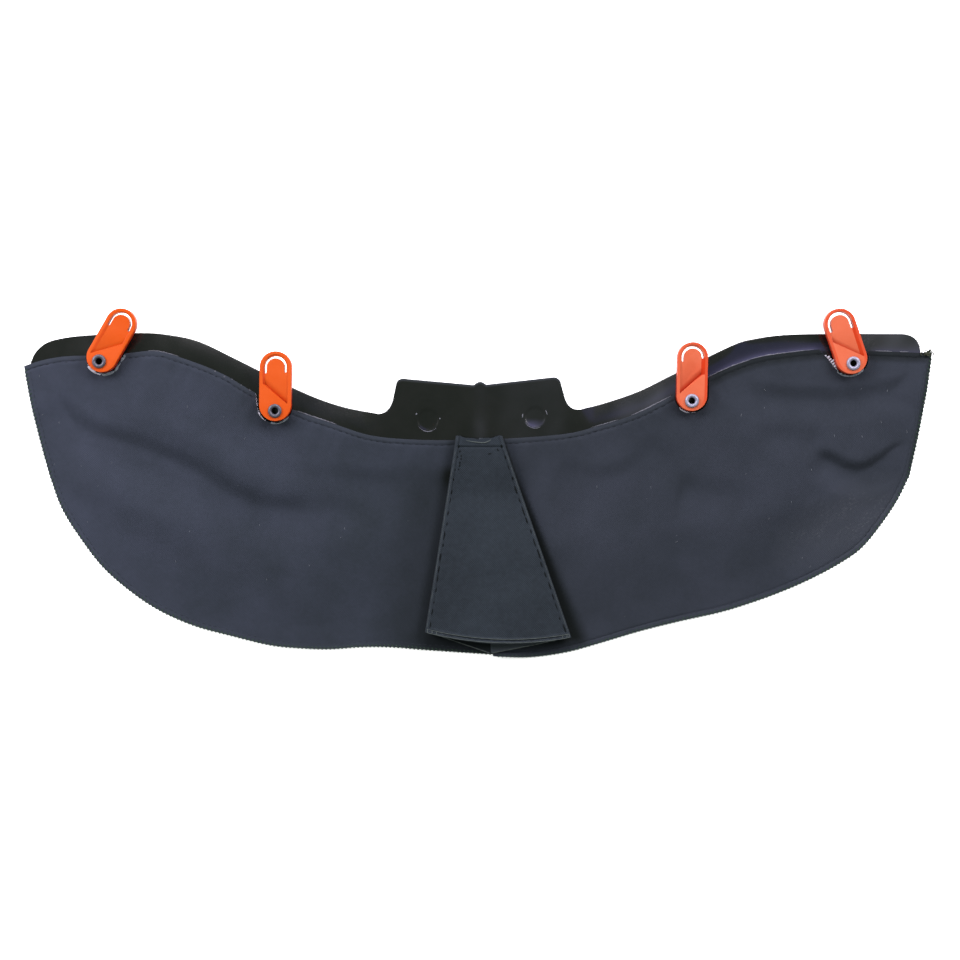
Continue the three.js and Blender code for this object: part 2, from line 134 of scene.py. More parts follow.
CLIP_SPOTS = (
    ClipSpot(1, -206.5, 66.3, 29.7, StepLean.HIGH_RIGHT, -0.5, 29.7, (4.2, 1.9), 1.6),
    ClipSpot(2, -110.7, 39.3, 0.8, StepLean.HIGH_LEFT, -0.2, -8.0, (3.5, 2.9)),
    ClipSpot(3, 116.6, 44.8, 1.4, StepLean.HIGH_RIGHT, 0.2, 1.4, (2.5, 0.6)),
    ClipSpot(4, 204.6, 65.2, -18.5, StepLean.HIGH_LEFT, 1.0, -39.0, (3.1, 4.2), 1.6),
)
FIRST_SPOT = CLIP_SPOTS[0]
SHIFT = np.array([*(FIRST_SPOT.pivot_m.xy / MM), 0.0]) - np.array([FIRST_SPOT.x, FIRST_SPOT.y, 0.0])


def in_frame(points: Array) -> Array:
    """Moves points of the drawing into the frame, in metres."""
    return (np.asarray(points, float) + SHIFT) * MM


def ease(value: Array, low: float, high: float) -> Array:
    """Rises smoothly from 0 at low to 1 at high."""
    share = np.clip((value - low) / (high - low), 0.0, 1.0)
    return share * share * (3.0 - 2.0 * share)


def ebb(value: Array, low: float, high: float) -> Array:
    """Falls smoothly from 1 at low to 0 at high."""
    return 1 - ease(value, low, high)


def plateau(value: Array, start: Pair, end: Pair) -> Array:
    """Rises smoothly from 0 to 1 over the start and falls back over the end."""
    return ease(value, *start) * ebb(value, *end)


def between(pair: Pair, share: Array) -> Array:
    """Goes from a pair's first value to its second one."""
    return pair[0] + (pair[1] - pair[0]) * share


def level(line: Array, x: Array) -> Array:
    """Gives a line's y at each x, where the line runs from left to right."""
    return np.interp(x, line[:, 0], line[:, 1])


def higher(first: Array, second: Array, blend: float) -> Array:
    """Follows the higher of two surfaces, rounded where they cross."""
    return 0.5 * (first + second + np.sqrt((first - second) ** 2 + blend**2))


def bell(distance: Array, half_width: float) -> Array:
    """A smooth hump that is 1 at no distance and fades over its half width."""
    return np.exp(-((distance / half_width) ** 2))


def spline(points: Line | Array, shares: Array) -> Array:
    """Follows a smooth curve through the points.

    Args:
        points: The points that the curve passes, in order.
        shares: Positions along the curve, from 0 at its start to 1 at its end.

    Returns:
        One point of the curve for each share.
    """
    knots = np.asarray(points, float)
    last = len(knots) - 1
    padded = np.vstack([2 * knots[:1] - knots[1:2], knots, 2 * knots[-1:] - knots[-2:-1]])
    place = np.clip(shares, 0.0, 1.0) * last
    start = np.minimum(place.astype(int), last - 1)
    t = (place - start)[:, None]
    a, b, c, d = (padded[start + k] for k in range(4))
    return b + 0.5 * t * (c - a + t * (2 * a - 5 * b + 4 * c - d + t * (3 * (b - c) + d - a)))


def evenly(line: Array, spacing: float) -> Array:
    """Marks a line at even steps.

    Args:
        line: Points of the line.
        spacing: The distance wanted between marks.

    Returns:
        Points along the line, its two ends among them.
    """
    reach = np.concatenate([[0.0], np.cumsum(np.linalg.norm(np.diff(line, axis=0), axis=1))])
    count = max(2, int(round(reach[-1] / spacing)) + 1)
    marks = np.linspace(0.0, reach[-1], count)
    return np.stack([np.interp(marks, reach, line[:, k]) for k in range(line.shape[1])], axis=1)


def directions(line: Array) -> Array:
    """Gives the direction of a line at each of its points."""
    run = np.gradient(line, axis=0)
    return run / np.linalg.norm(run, axis=1, keepdims=True)


def distance_to(line: Array, x: Array, y: Array) -> tuple[Array, Array]:
    """Measures how far points lie from a line.

    Args:
        line: Points of the line.
        x: The points' x.
        y: The points' y.

    Returns:
        The distance of each point, and the share of the line at which it is nearest.
    """
    nearest = np.full(np.shape(x), np.inf)
    share = np.zeros(np.shape(x))
    pieces = len(line) - 1
    for k in range(pieces):
        start, run = line[k], line[k + 1] - line[k]
        t = np.clip(((x - start[0]) * run[0] + (y - start[1]) * run[1]) / (run @ run), 0.0, 1.0)
        gap = np.hypot(x - start[0] - t * run[0], y - start[1] - t * run[1])
        closer = gap < nearest
        nearest = np.where(closer, gap, nearest)
        share = np.where(closer, (k + t) / pieces, share)
    return nearest, share


def ripple(x: Array, y: Array, seed: int, wavelength: float, height: float) -> Array:
    """Gives a gentle uneven swell.

    Args:
        x: Places along x.
        y: Places along y.
        seed: Picks one swell.
        wavelength: The mean distance between its crests.
        height: Its mean height.

    Returns:
        The swell's height at each place.
    """
    waves = 7
    random = np.random.default_rng(seed)
    swell = np.zeros(np.shape(x))
    for turn, stretch, phase in random.uniform((0, 0.7, 0), (math.tau, 1.5, math.tau), (waves, 3)):
        along = x * math.cos(turn) + y * math.sin(turn)
        swell += np.sin(math.tau * along / (wavelength * stretch) + phase)
    return height * swell / math.sqrt(waves)


def deselect() -> None:
    """Leaves nothing selected, so that an operator meets only what comes next."""
    if bpy.context.object and bpy.context.object.mode != "OBJECT":
        bpy.ops.object.mode_set(mode="OBJECT")
    bpy.ops.object.select_all(action="DESELECT")


def take(piece: Piece) -> None:
    """Makes a piece the one that operators act on."""
    deselect()
    piece.select_set(True)
    bpy.context.view_layer.objects.active = piece


def new_piece(name: str) -> Piece:
    """Names the primitive that was just added and puts its place into its mesh."""
    piece = bpy.context.object
    piece.name = name
    piece.data.name = name
    bpy.ops.object.transform_apply(location=True, rotation=True, scale=True)
    return piece


def modify(piece: Piece, kind: str, **settings: object) -> None:
    """Adds a modifier and applies it.

    Args:
        piece: The piece to work on.
        kind: The modifier's type.
        settings: The modifier's own settings.
    """
    take(piece)
    bpy.ops.object.modifier_add(type=kind)
    modifier = piece.modifiers[-1]
    for name, value in settings.items():
        setattr(modifier, name, value)
    bpy.ops.object.modifier_apply(modifier=modifier.name)


def bevel(piece: Piece, width: float, segments: int, degrees: float) -> None:
    """Rounds a piece's sharp edges."""
    modify(piece, "BEVEL", width=width * MM, segments=segments, limit_method="ANGLE",
           angle_limit=math.radians(degrees))


def join(pieces: list[Piece]) -> None:
    """Joins pieces into the first of them."""
    take(pieces[0])
    for piece in pieces:
        piece.select_set(True)
    bpy.ops.object.join()


def turn_faces_out(piece: Piece) -> None:
    """Turns every face of a closed piece outwards."""
    take(piece)
    bpy.ops.object.mode_set(mode="EDIT")
    bpy.ops.mesh.select_all(action="SELECT")
    bpy.ops.mesh.normals_make_consistent(inside=False)
    bpy.ops.object.mode_set(mode="OBJECT")


def smooth(piece: Piece, degrees: float = 40.0) -> None:
    """Shades a piece smoothly apart from its sharp edges."""
    take(piece)
    bpy.ops.object.shade_smooth_by_angle(angle=math.radians(degrees))


def cut(piece: Piece, cutter: Piece) -> None:
    """Cuts one piece out of another and throws the cutter away."""
    modify(piece, "BOOLEAN", operation="DIFFERENCE", solver="EXACT", object=cutter)
    bpy.data.objects.remove(cutter)


def add_grid(name: str, columns: int, rows: int) -> tuple[Piece, Array, Array]:
    """Adds a flat sheet to shape.

    Args:
        name: The sheet's name.
        columns: Its number of faces across.
        rows: Its number of faces up.

    Returns:
        The sheet, and each vertex's shares across and up, from 0 to 1.
    """
    deselect()
    bpy.ops.mesh.primitive_grid_add(x_subdivisions=columns, y_subdivisions=rows, size=1.0)
    piece = new_piece(name)
    places = np.empty(3 * len(piece.data.vertices))
    piece.data.vertices.foreach_get("co", places)
    shares = places.reshape(-1, 3)[:, :2] + 0.5
    return piece, shares[:, 0], shares[:, 1]


def set_shape(piece: Piece, places: Array) -> None:
    """Moves a piece's vertices to places of the drawing."""
    piece.data.vertices.foreach_set("co", in_frame(places).ravel())
    piece.data.update()


def mark(piece: Piece, name: str, amount: Array) -> None:
    """Keeps an amount from 0 to 1 for each vertex, for the piece's finish to read."""
    layer = piece.data.attributes.new(name, "FLOAT", "POINT")
    layer.data.foreach_set("value", np.ascontiguousarray(amount, np.float32))


def heights_on(piece: Piece, points: Array) -> Array:
    """Drops points of the drawing onto a piece from above.

    Args:
        piece: The piece that they land on.
        points: Their x and y.

    Returns:
        The height at which each one lands, or the last one found where it misses.
    """
    above_m = 0.1
    found = []
    height = 0.0
    for x, y in in_frame(np.column_stack([points, np.zeros(len(points))]))[:, :2]:
        hit, place, _, _ = piece.ray_cast(Vector((x, y, above_m)), Vector((0, 0, -1)))
        height = place.z / MM if hit else height
        found.append(height)
    return np.array(found)


def thread_piece(name: str, strands: Array, radii: Array, sides: int) -> Piece:
    """Makes one mesh of many like strands.

    Args:
        name: The piece's name.
        strands: Points along each strand, as strands by points by xyz.
        radii: The strand's radius at each point, or one row of them for each strand.
        sides: The number of sides of a strand.

    Returns:
        The piece.
    """
    count, rings, _ = strands.shape
    along = np.gradient(strands, axis=1)
    along /= np.linalg.norm(along, axis=2, keepdims=True) + 1e-9
    upright = np.where(np.abs(along[:, :, 2:]) > 0.9, [1.0, 0.0, 0.0], [0.0, 0.0, 1.0])
    across = np.cross(along, upright)
    across /= np.linalg.norm(across, axis=2, keepdims=True)
    lift = np.cross(across, along)
    turns = np.linspace(0.0, math.tau, sides, endpoint=False)
    spread = np.broadcast_to(radii, (count, rings))[:, :, None, None]
    around = across[:, :, None] * np.cos(turns)[:, None] + lift[:, :, None] * np.sin(turns)[:, None]
    places = (strands[:, :, None] + spread * around).reshape(-1, 3)
    ring, side = np.meshgrid(np.arange(rings - 1), np.arange(sides), indexing="ij")
    after = (side + 1) % sides
    wall = np.stack([ring * sides + side, ring * sides + after,
                     (ring + 1) * sides + after, (ring + 1) * sides + side], axis=-1).reshape(-1, 4)
    starts = np.arange(count) * rings * sides
    faces = (starts[:, None, None] + wall).reshape(-1, 4).tolist()
    cap = np.arange(sides)
    faces += (starts[:, None] + cap[::-1]).tolist()
    faces += (starts[:, None] + (rings - 1) * sides + cap).tolist()
    mesh = bpy.data.meshes.new(name)
    mesh.from_pydata(in_frame(places).tolist(), [], faces)
    mesh.update()
    piece = bpy.data.objects.new(name, mesh)
    bpy.context.scene.collection.objects.link(piece)
    smooth(piece, 60.0)
    return piece


class NodeBoard:
    """A node tree with short ways to place and join nodes."""

    def __init__(self, tree: bpy.types.NodeTree) -> None:
        """Takes the tree to work on."""
        self.tree = tree

    def add(self, kind: str, inputs: dict[str, object] | None = None, **settings: object) -> bpy.types.Node:
        """Places a node.

        Args:
            kind: The node's type.
            inputs: Values or sockets for its inputs, by name.
            settings: Its own settings.

        Returns:
            The node.
        """
        node = self.tree.nodes.new(kind)
        for name, value in settings.items():
            setattr(node, name, value)
        for name, value in (inputs or {}).items():
            self.feed(node.inputs[name], value)
        return node

    def feed(self, socket: Socket, value: object) -> None:
        """Joins a socket to an input, or sets the input's value."""
        if isinstance(value, Socket):
            self.tree.links.new(value, socket)
        else:
            socket.default_value = value

    def math(self, operation: str, first: object, second: object = 0.0) -> Socket:
        """Places a sum."""
        node = self.tree.nodes.new("ShaderNodeMath")
        node.operation = operation
        self.feed(node.inputs[0], first)
        self.feed(node.inputs[1], second)
        return node.outputs[0]

    def noise(self, vector: object, scale: float, detail: float = 3.0, rough: float = 0.5) -> Socket:
        """Places a noise texture."""
        inputs = {"Vector": vector, "Scale": scale, "Detail": detail, "Roughness": rough}
        return self.add("ShaderNodeTexNoise", inputs).outputs["Fac"]

    def ramp(self, value: object, low: float, high: float, start: float = 0.0, end: float = 1.0) -> Socket:
        """Spreads a value from low to high over start to end, and holds it there."""
        inputs = {"Value": value, "From Min": low, "From Max": high, "To Min": start, "To Max": end}
        return self.add("ShaderNodeMapRange", inputs).outputs[0]

    def mix(self, share: object, first: object, second: object) -> Socket:
        """Mixes two colours."""
        node = self.tree.nodes.new("ShaderNodeMix")
        node.data_type = "RGBA"
        self.feed(node.inputs[0], share)
        for socket, value in ((node.inputs[6], first), (node.inputs[7], second)):
            self.feed(socket, value if isinstance(value, Socket) else (*value, 1.0))
        return node.outputs[2]

    def amount(self, name: str) -> Socket:
        """Reads the amount that a piece keeps under a name."""
        return self.add("ShaderNodeAttribute", attribute_name=name).outputs["Fac"]

    def axis(self, vector: Socket, name: str) -> Socket:
        """Takes one axis of a vector."""
        return self.add("ShaderNodeSeparateXYZ", {"Vector": vector}).outputs[name]

    def own_place(self, turn: float = 0.0) -> Socket:
        """Gives the piece's own coordinates, turned about z."""
        place = self.add("ShaderNodeTexCoord").outputs["Object"]
        return self.add("ShaderNodeMapping", {"Vector": place, "Rotation": (0.0, 0.0, turn)}).outputs[0]


def effect(name: str, inputs: tuple[tuple[str, str], ...],
           outputs: tuple[str, ...]) -> tuple[NodeBoard, dict[str, Socket], dict[str, Socket]]:
    """Starts a shared effect.

    Args:
        name: The effect's name.
        inputs: The name and kind of each value it takes.
        outputs: The name of each value it gives.

    Returns:
        Its board, the sockets of what it takes and the sockets of what it gives.
    """
    tree = bpy.data.node_groups.new(name, "ShaderNodeTree")
    for label, kind in inputs:
        tree.interface.new_socket(label, in_out="INPUT", socket_type=kind)
    for label in outputs:
        tree.interface.new_socket(label, in_out="OUTPUT", socket_type=VALUE)
    board = NodeBoard(tree)
    taken = board.add("NodeGroupInput")
    given = board.add("NodeGroupOutput")
    return board, dict(taken.outputs.items()), dict(given.inputs.items())


class Effects:
    """The shader effects that several finishes share, each built once."""

    def __init__(self) -> None:
        """Builds every effect."""
        self.twill = self._twill()
        self.mottle = self._mottle()
        self.scuff = self._scuff()
        self.grain = self._grain()

    @staticmethod
    def _twill() -> bpy.types.NodeTree:
        """Builds diagonal ribs crossed by yarns, as a height and a shade.

        Returns:
            The effect's node group.
        """
        rib_share, knot_share = 0.06, 0.40
        board, takes, gives = effect(
            "twill_weave", (("Vector", VECTOR), ("Threads", VALUE)), ("Height", "Shade"))
        wobble = board.noise(takes["Vector"], 160.0, 2.0)
        turns = board.math("MULTIPLY", takes["Threads"], math.tau)
        x = board.math("MULTIPLY", board.axis(takes["Vector"], "X"), turns)
        y = board.math("MULTIPLY", board.axis(takes["Vector"], "Y"), turns)
        drift = board.math("MULTIPLY", wobble, 4.0)
        slope = board.math("MULTIPLY", board.math("ADD", x, y), math.sqrt(0.5))
        rib = board.math("SINE", board.math("ADD", slope, drift))
        warp = board.math("SINE", board.math("ADD", x, drift))
        weft = board.math("SINE", board.math("SUBTRACT", y, drift))
        knot = board.math("MULTIPLY", warp, weft)
        ribs = board.math("MULTIPLY", rib, rib_share)
        raised = board.math("ADD", ribs, board.math("MULTIPLY", knot, knot_share))
        height = board.math("ADD", raised, 0.5)
        board.feed(gives["Height"], height)
        patchy = board.ramp(board.noise(takes["Vector"], 420.0, 4.0, 0.7), 0.3, 0.7, 0.55, 1.0)
        board.feed(gives["Shade"], board.math("MULTIPLY", height, patchy))
        return board.tree

    @staticmethod
    def _mottle() -> bpy.types.NodeTree:
        """Builds soft uneven patches."""
        board, takes, gives = effect("soft_mottle", (("Vector", VECTOR), ("Size", VALUE)), ("Patch",))
        broad = board.noise(takes["Vector"], takes["Size"], 4.0, 0.6)
        board.feed(gives["Patch"], board.ramp(broad, 0.3, 0.7))
        return board.tree

    @staticmethod
    def _scuff() -> bpy.types.NodeTree:
        """Builds chalky rub marks round one place.

        Returns:
            The effect's node group.
        """
        board, takes, gives = effect(
            "chalky_scuff", (("Vector", VECTOR), ("Centre", VECTOR), ("Reach", VALUE)), ("Mask", "Near"))
        away = board.add("ShaderNodeVectorMath", operation="DISTANCE")
        board.feed(away.inputs[0], takes["Vector"])
        board.feed(away.inputs[1], takes["Centre"])
        near = board.math("SUBTRACT", 1.0, board.math("DIVIDE", away.outputs["Value"], takes["Reach"]))
        streaks = board.ramp(board.noise(takes["Vector"], 900.0, 5.0, 0.8), 0.52, 0.70)
        clouds = board.ramp(board.noise(takes["Vector"], 90.0, 4.0, 0.65), 0.44, 0.66)
        rubbed_and_lit = board.math("MULTIPLY", streaks, clouds)
        closeness = board.ramp(near, 0.0, 0.7)
        board.feed(gives["Near"], closeness)
        board.feed(gives["Mask"], board.math("MULTIPLY", closeness, rubbed_and_lit))
        return board.tree

    @staticmethod
    def _grain() -> bpy.types.NodeTree:
        """Builds a fine pebble, with broad smudges over it."""
        board, takes, gives = effect(
            "plastic_grain", (("Vector", VECTOR), ("Size", VALUE)), ("Height", "Smudge"))
        board.feed(gives["Height"], board.noise(takes["Vector"], takes["Size"], 2.0, 0.5))
        board.feed(gives["Smudge"], board.ramp(board.noise(takes["Vector"], 38.0, 5.0, 0.65), 0.35, 0.7))
        return board.tree


class Finish:
    """A material in the making: its board, its shader and the shared effects."""

    def __init__(self, name: str, effects: Effects) -> None:
        """Starts a material with a plain shader."""
        self.material = bpy.data.materials.new(name)
        self.material.use_nodes = True
        self.board = NodeBoard(self.material.node_tree)
        self.shader = self.material.node_tree.nodes["Principled BSDF"]
        self.effects = effects

    def use(self, tree: bpy.types.NodeTree, inputs: dict[str, object]) -> bpy.types.Node:
        """Places a shared effect."""
        return self.board.add("ShaderNodeGroup", inputs, node_tree=tree)

    def bump(self, height: object, strength: float, distance_m: float) -> None:
        """Raises the surface."""
        inputs = {"Height": height, "Strength": strength, "Distance": distance_m}
        node = self.board.add("ShaderNodeBump", inputs)
        self.board.feed(self.shader.inputs["Normal"], node.outputs["Normal"])

    def set(self, **values: object) -> None:
        """Sets or joins inputs of the shader, named with underscores for spaces."""
        for name, value in values.items():
            self.board.feed(self.shader.inputs[name.replace("_", " ")], value)


@dataclass(frozen=True)
class TwillFinish:
    """Dark flame-resistant twill with paler, dusty yarn tops."""

    name: str
    deep: Colour
    worn: Colour
    threads_per_m: float = 1000.0
    turn: float = 0.0
    bump: float = 0.5
    weave_share: float = 0.45
    patch_share: float = 0.35
    patch_scale: float = 22.0
    # Pale colour of worn rims; on the pleat's right return it is painted light.
    rubbed_and_lit: Colour = (0.046, 0.053, 0.062)
    # Colour of the painted shade.
    shade_colour: Colour = (0.0026, 0.0040, 0.0036)
    roughness: float = 0.92
    gloss: float = 0.12
    yarn_height_m: float = 0.00025
    # Painted light: a ramp of tone along x, from the first place to the second, by the two amounts.
    light_ramp_from: float = 0.0
    light_ramp_to: float = 0.0
    taper: Pair = (0.0, 0.0)
    scuff_at: Pair | None = None
    scuff_reach: float = 60.0
    scuff_slant: float = 28.0
    scuff_stretch: tuple[float, float, float] = (1.5, 0.75, 1.0)
    chalk: Colour = (0.062, 0.066, 0.076)
    dust: Colour = (0.036, 0.0395, 0.050)
    dust_share: float = 0.42

    def make(self, effects: Effects) -> Material:
        """Builds the material.

        Args:
            effects: The shared effects.

        Returns:
            The material.
        """
        finish = Finish(self.name, effects)
        board = finish.board
        place = board.own_place(self.turn)
        weave = finish.use(effects.twill, {"Vector": place, "Threads": self.threads_per_m})
        patch = finish.use(effects.mottle, {"Vector": place, "Size": self.patch_scale})
        tone = board.math("MULTIPLY_ADD", weave.outputs["Shade"], self.weave_share)
        board.feed(tone.node.inputs[2], board.math("MULTIPLY", patch.outputs["Patch"], self.patch_share))
        # Paints light across the cloth, lighter towards its outer edge.
        if self.light_ramp_to:
            along = board.axis(board.own_place(), "X")
            taper = board.ramp(along, self.light_ramp_from * MM, self.light_ramp_to * MM, *self.taper)
            tone = board.math("ADD", tone, taper)
        # Mixes in the pale tone: wear, and painted light where a piece marks it.
        colour = board.mix(board.amount(WEAR_AND_LIGHT), board.mix(tone, self.deep, self.worn), self.rubbed_and_lit)
        # Darkens the cloth with painted shade.
        colour = board.mix(board.amount(PAINTED_SHADE), colour, self.shade_colour)
        if self.scuff_at:
            colour = self._scuffed(finish, colour)
        finish.set(Base_Color=colour, Roughness=self.roughness, Specular_IOR_Level=self.gloss)
        finish.bump(weave.outputs["Height"], self.bump, self.yarn_height_m)
        return finish.material

    def _scuffed(self, finish: Finish, colour: Socket) -> Socket:
        """Rubs dust and chalk into the cloth round one place.

        Args:
            finish: The material in the making.
            colour: The cloth's colour.

        Returns:
            The colour with the rub marks on it.
        """
        board = finish.board
        slanted = board.add("ShaderNodeMapping", {
            "Vector": board.add("ShaderNodeTexCoord").outputs["Object"],
            "Location": tuple(in_frame(np.array([*self.scuff_at, 0.0]))),
            "Rotation": (0.0, 0.0, math.radians(self.scuff_slant)),
            "Scale": self.scuff_stretch}, vector_type="TEXTURE").outputs[0]
        rub = finish.use(finish.effects.scuff, {
            "Vector": slanted, "Centre": (0.0, 0.0, 0.0), "Reach": self.scuff_reach * MM})
        dusty = board.mix(board.math("MULTIPLY", rub.outputs["Near"], self.dust_share), colour, self.dust)
        return board.mix(rub.outputs["Mask"], dusty, self.chalk)


@dataclass(frozen=True)
class StripFinish:
    """Black formed sheet with a satin gloss, smudged by handling."""

    name: str = "black_formed_sheet"
    colour: Colour = (0.0035, 0.0042, 0.0035)
    smudge: Colour = (0.0058, 0.0062, 0.0056)
    # Bluish grey of the painted sheen on the strip.
    rubbed_and_lit: Colour = (0.023, 0.0245, 0.0285)
    # Lavender of the painted sheen.
    painted_streak: Colour = (0.036, 0.035, 0.062)
    polish_gain: float = 0.10
    grain_scale: float = 900.0
    roughness: Pair = (0.17, 0.22)
    gloss: float = 0.4
    bump: float = 0.03

    def make(self, effects: Effects) -> Material:
        """Builds the material.

        Args:
            effects: The shared effects.

        Returns:
            The material.
        """
        finish = Finish(self.name, effects)
        board = finish.board
        grain = finish.use(effects.grain, {"Vector": board.own_place(), "Size": self.grain_scale})
        smudge = grain.outputs["Smudge"]
        sheet = board.mix(smudge, self.colour, self.smudge)
        # Lightens the sheet with painted sheen.
        colour = board.mix(board.amount(WEAR_AND_LIGHT), sheet, self.rubbed_and_lit)
        smoother = board.math("MULTIPLY", board.amount(POLISH), self.polish_gain)
        roughness = board.math("SUBTRACT", board.ramp(smudge, 0.0, 1.0, *self.roughness), smoother)
        # Mixes in the lavender painted sheen.
        finish.set(Base_Color=board.mix(board.amount(PAINTED_SHEEN), colour, self.painted_streak), Roughness=roughness,
                   Specular_IOR_Level=self.gloss)
        finish.bump(grain.outputs["Height"], self.bump, GRAIN_HEIGHT_M)
        return finish.material


@dataclass(frozen=True)
class ClipFinish:
    """Orange moulded plastic, a little dulled on its faces, with painted shade deepening its recess."""

    name: str = "orange_moulded_plastic"
    colour: Colour = (0.40, 0.049, 0.003)
    dulled: Colour = (0.43, 0.061, 0.008)
    # Deep red of the painted shade in the recess.
    recess_shade: Colour = (0.33, 0.013, 0.0008)
    # Deep orange of the painted shade on the walls and rim.
    crease: Colour = (0.37, 0.022, 0.002)
    face_z: float = 10.3
    shade_depths: Pair = (0.8, 2.6)
    grain_scale: float = 1500.0
    roughness: Pair = (0.40, 0.52)
    gloss: float = 0.12
    bump: float = 0.06

    def make(self, effects: Effects) -> Material:
        """Builds the material.

        Args:
            effects: The shared effects.

        Returns:
            The material.
        """
        finish = Finish(self.name, effects)
        board = finish.board
        place = board.own_place()
        grain = finish.use(effects.grain, {"Vector": place, "Size": self.grain_scale})
        smudge = grain.outputs["Smudge"]
        face = board.mix(smudge, self.colour, self.dulled)
        # Paints shade onto the walls and rim.
        face = board.mix(board.amount(PAINTED_WALL_SHADE), face, self.crease)
        shallow, deep = ((self.face_z - depth) * MM for depth in self.shade_depths)
        # Painted shade: deeper red the lower the surface lies below the face.
        recess_shade_share = board.ramp(board.axis(place, "Z"), shallow, deep)
        finish.set(Base_Color=board.mix(recess_shade_share, face, self.recess_shade),
                   Roughness=board.ramp(smudge, 0.0, 1.0, *self.roughness), Specular_IOR_Level=self.gloss)
        finish.bump(grain.outputs["Height"], self.bump, GRAIN_HEIGHT_M)
        return finish.material


@dataclass(frozen=True)
class RivetFinish:
    """Grey rolled metal, with painted shade darkening its bore below the head."""

    name: str = "grey_rolled_metal"
    bright: Colour = (0.085, 0.081, 0.110)
    dull: Colour = (0.038, 0.037, 0.047)
    bore: Colour = (0.008, 0.008, 0.008)
    bore_shade_z: Pair = (10.2, 10.7)
    grain_scale: float = 2200.0
    metal: float = 0.3
    roughness: float = 0.42
    bump: float = 0.08

    def make(self, effects: Effects) -> Material:
        """Builds the material.

        Args:
            effects: The shared effects.

        Returns:
            The material.
        """
        finish = Finish(self.name, effects)
        board = finish.board
        place = board.own_place()
        grain = finish.use(effects.grain, {"Vector": place, "Size": self.grain_scale})
        # Painted shade: near black and not metallic below the head.
        above = board.ramp(board.axis(place, "Z"), self.bore_shade_z[0] * MM, self.bore_shade_z[1] * MM)
        face = board.mix(grain.outputs["Height"], self.dull, self.bright)
        finish.set(Base_Color=board.mix(above, self.bore, face), Roughness=self.roughness,
                   Metallic=board.math("MULTIPLY", above, self.metal))
        finish.bump(grain.outputs["Height"], self.bump, GRAIN_HEIGHT_M)
        return finish.material


# A paler, pinker copy of the orange, for the two right-hand clips.
PALER_CLIP = ClipFinish("orange_paler_plastic", (0.41, 0.078, 0.034), (0.45, 0.104, 0.052))
BRIGHT_RIVET = RivetFinish("grey_bright_metal", (0.26, 0.25, 0.34), (0.17, 0.165, 0.225))


@dataclass(frozen=True)
class ThreadFinish:
    """Twisted sewing thread."""

    name: str
    colour: Colour
    light: Colour
    gloss: float = 0.2
    fuzz_scale: float = 2600.0
    roughness: float = 0.8
    bump: float = 0.3

    def make(self, effects: Effects) -> Material:
        """Builds the material."""
        finish = Finish(self.name, effects)
        board = finish.board
        grain = finish.use(effects.grain, {"Vector": board.own_place(), "Size": self.fuzz_scale})
        fuzz = grain.outputs["Height"]
        finish.set(Base_Color=board.mix(fuzz, self.colour, self.light), Roughness=self.roughness,
                   Specular_IOR_Level=self.gloss)
        finish.bump(fuzz, self.bump, GRAIN_HEIGHT_M)
        return finish.material


@dataclass(frozen=True)
class FloorFinish:
    """A matt white sheet that glows a little, so that no shadow darkens it."""

    name: str = "pale_floor"
    colour: Colour = (0.93, 0.93, 0.93)
    roughness: float = 0.9
    gloss: float = 0.1
    glow: float = 0.65

    def make(self, effects: Effects) -> Material:
        """Builds the material."""
        finish = Finish(self.name, effects)
        finish.set(Base_Color=(*self.colour, 1.0), Roughness=self.roughness, Specular_IOR_Level=self.gloss,
                   Emission_Color=(1.0, 1.0, 1.0, 1.0), Emission_Strength=self.glow)
        return finish.material


def dress(piece: Piece, material: Material) -> None:
    """Gives a piece its only material.

    Args:
        piece: The piece to dress.
        material: Its material.
    """
    piece.data.materials.clear()
    piece.data.materials.append(material)


def seat(piece: Piece, body: str, *nodes: str) -> None:
    """Rides a piece on a body and reports it.

    Args:
        piece: The piece to seat.
        body: The body that it moves with.
        nodes: The solids that it takes the place of.
    """
    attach(piece, body)
    if nodes:
        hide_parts(*nodes)
    LOG.info("%s: %d faces on %s", piece.name, len(piece.data.polygons), body)


def lay_trim(piece: Piece, material: Material) -> None:
    """Dresses a piece that only trims the curtain and seats it there."""
    dress(piece, material)
    seat(piece, CURTAIN)


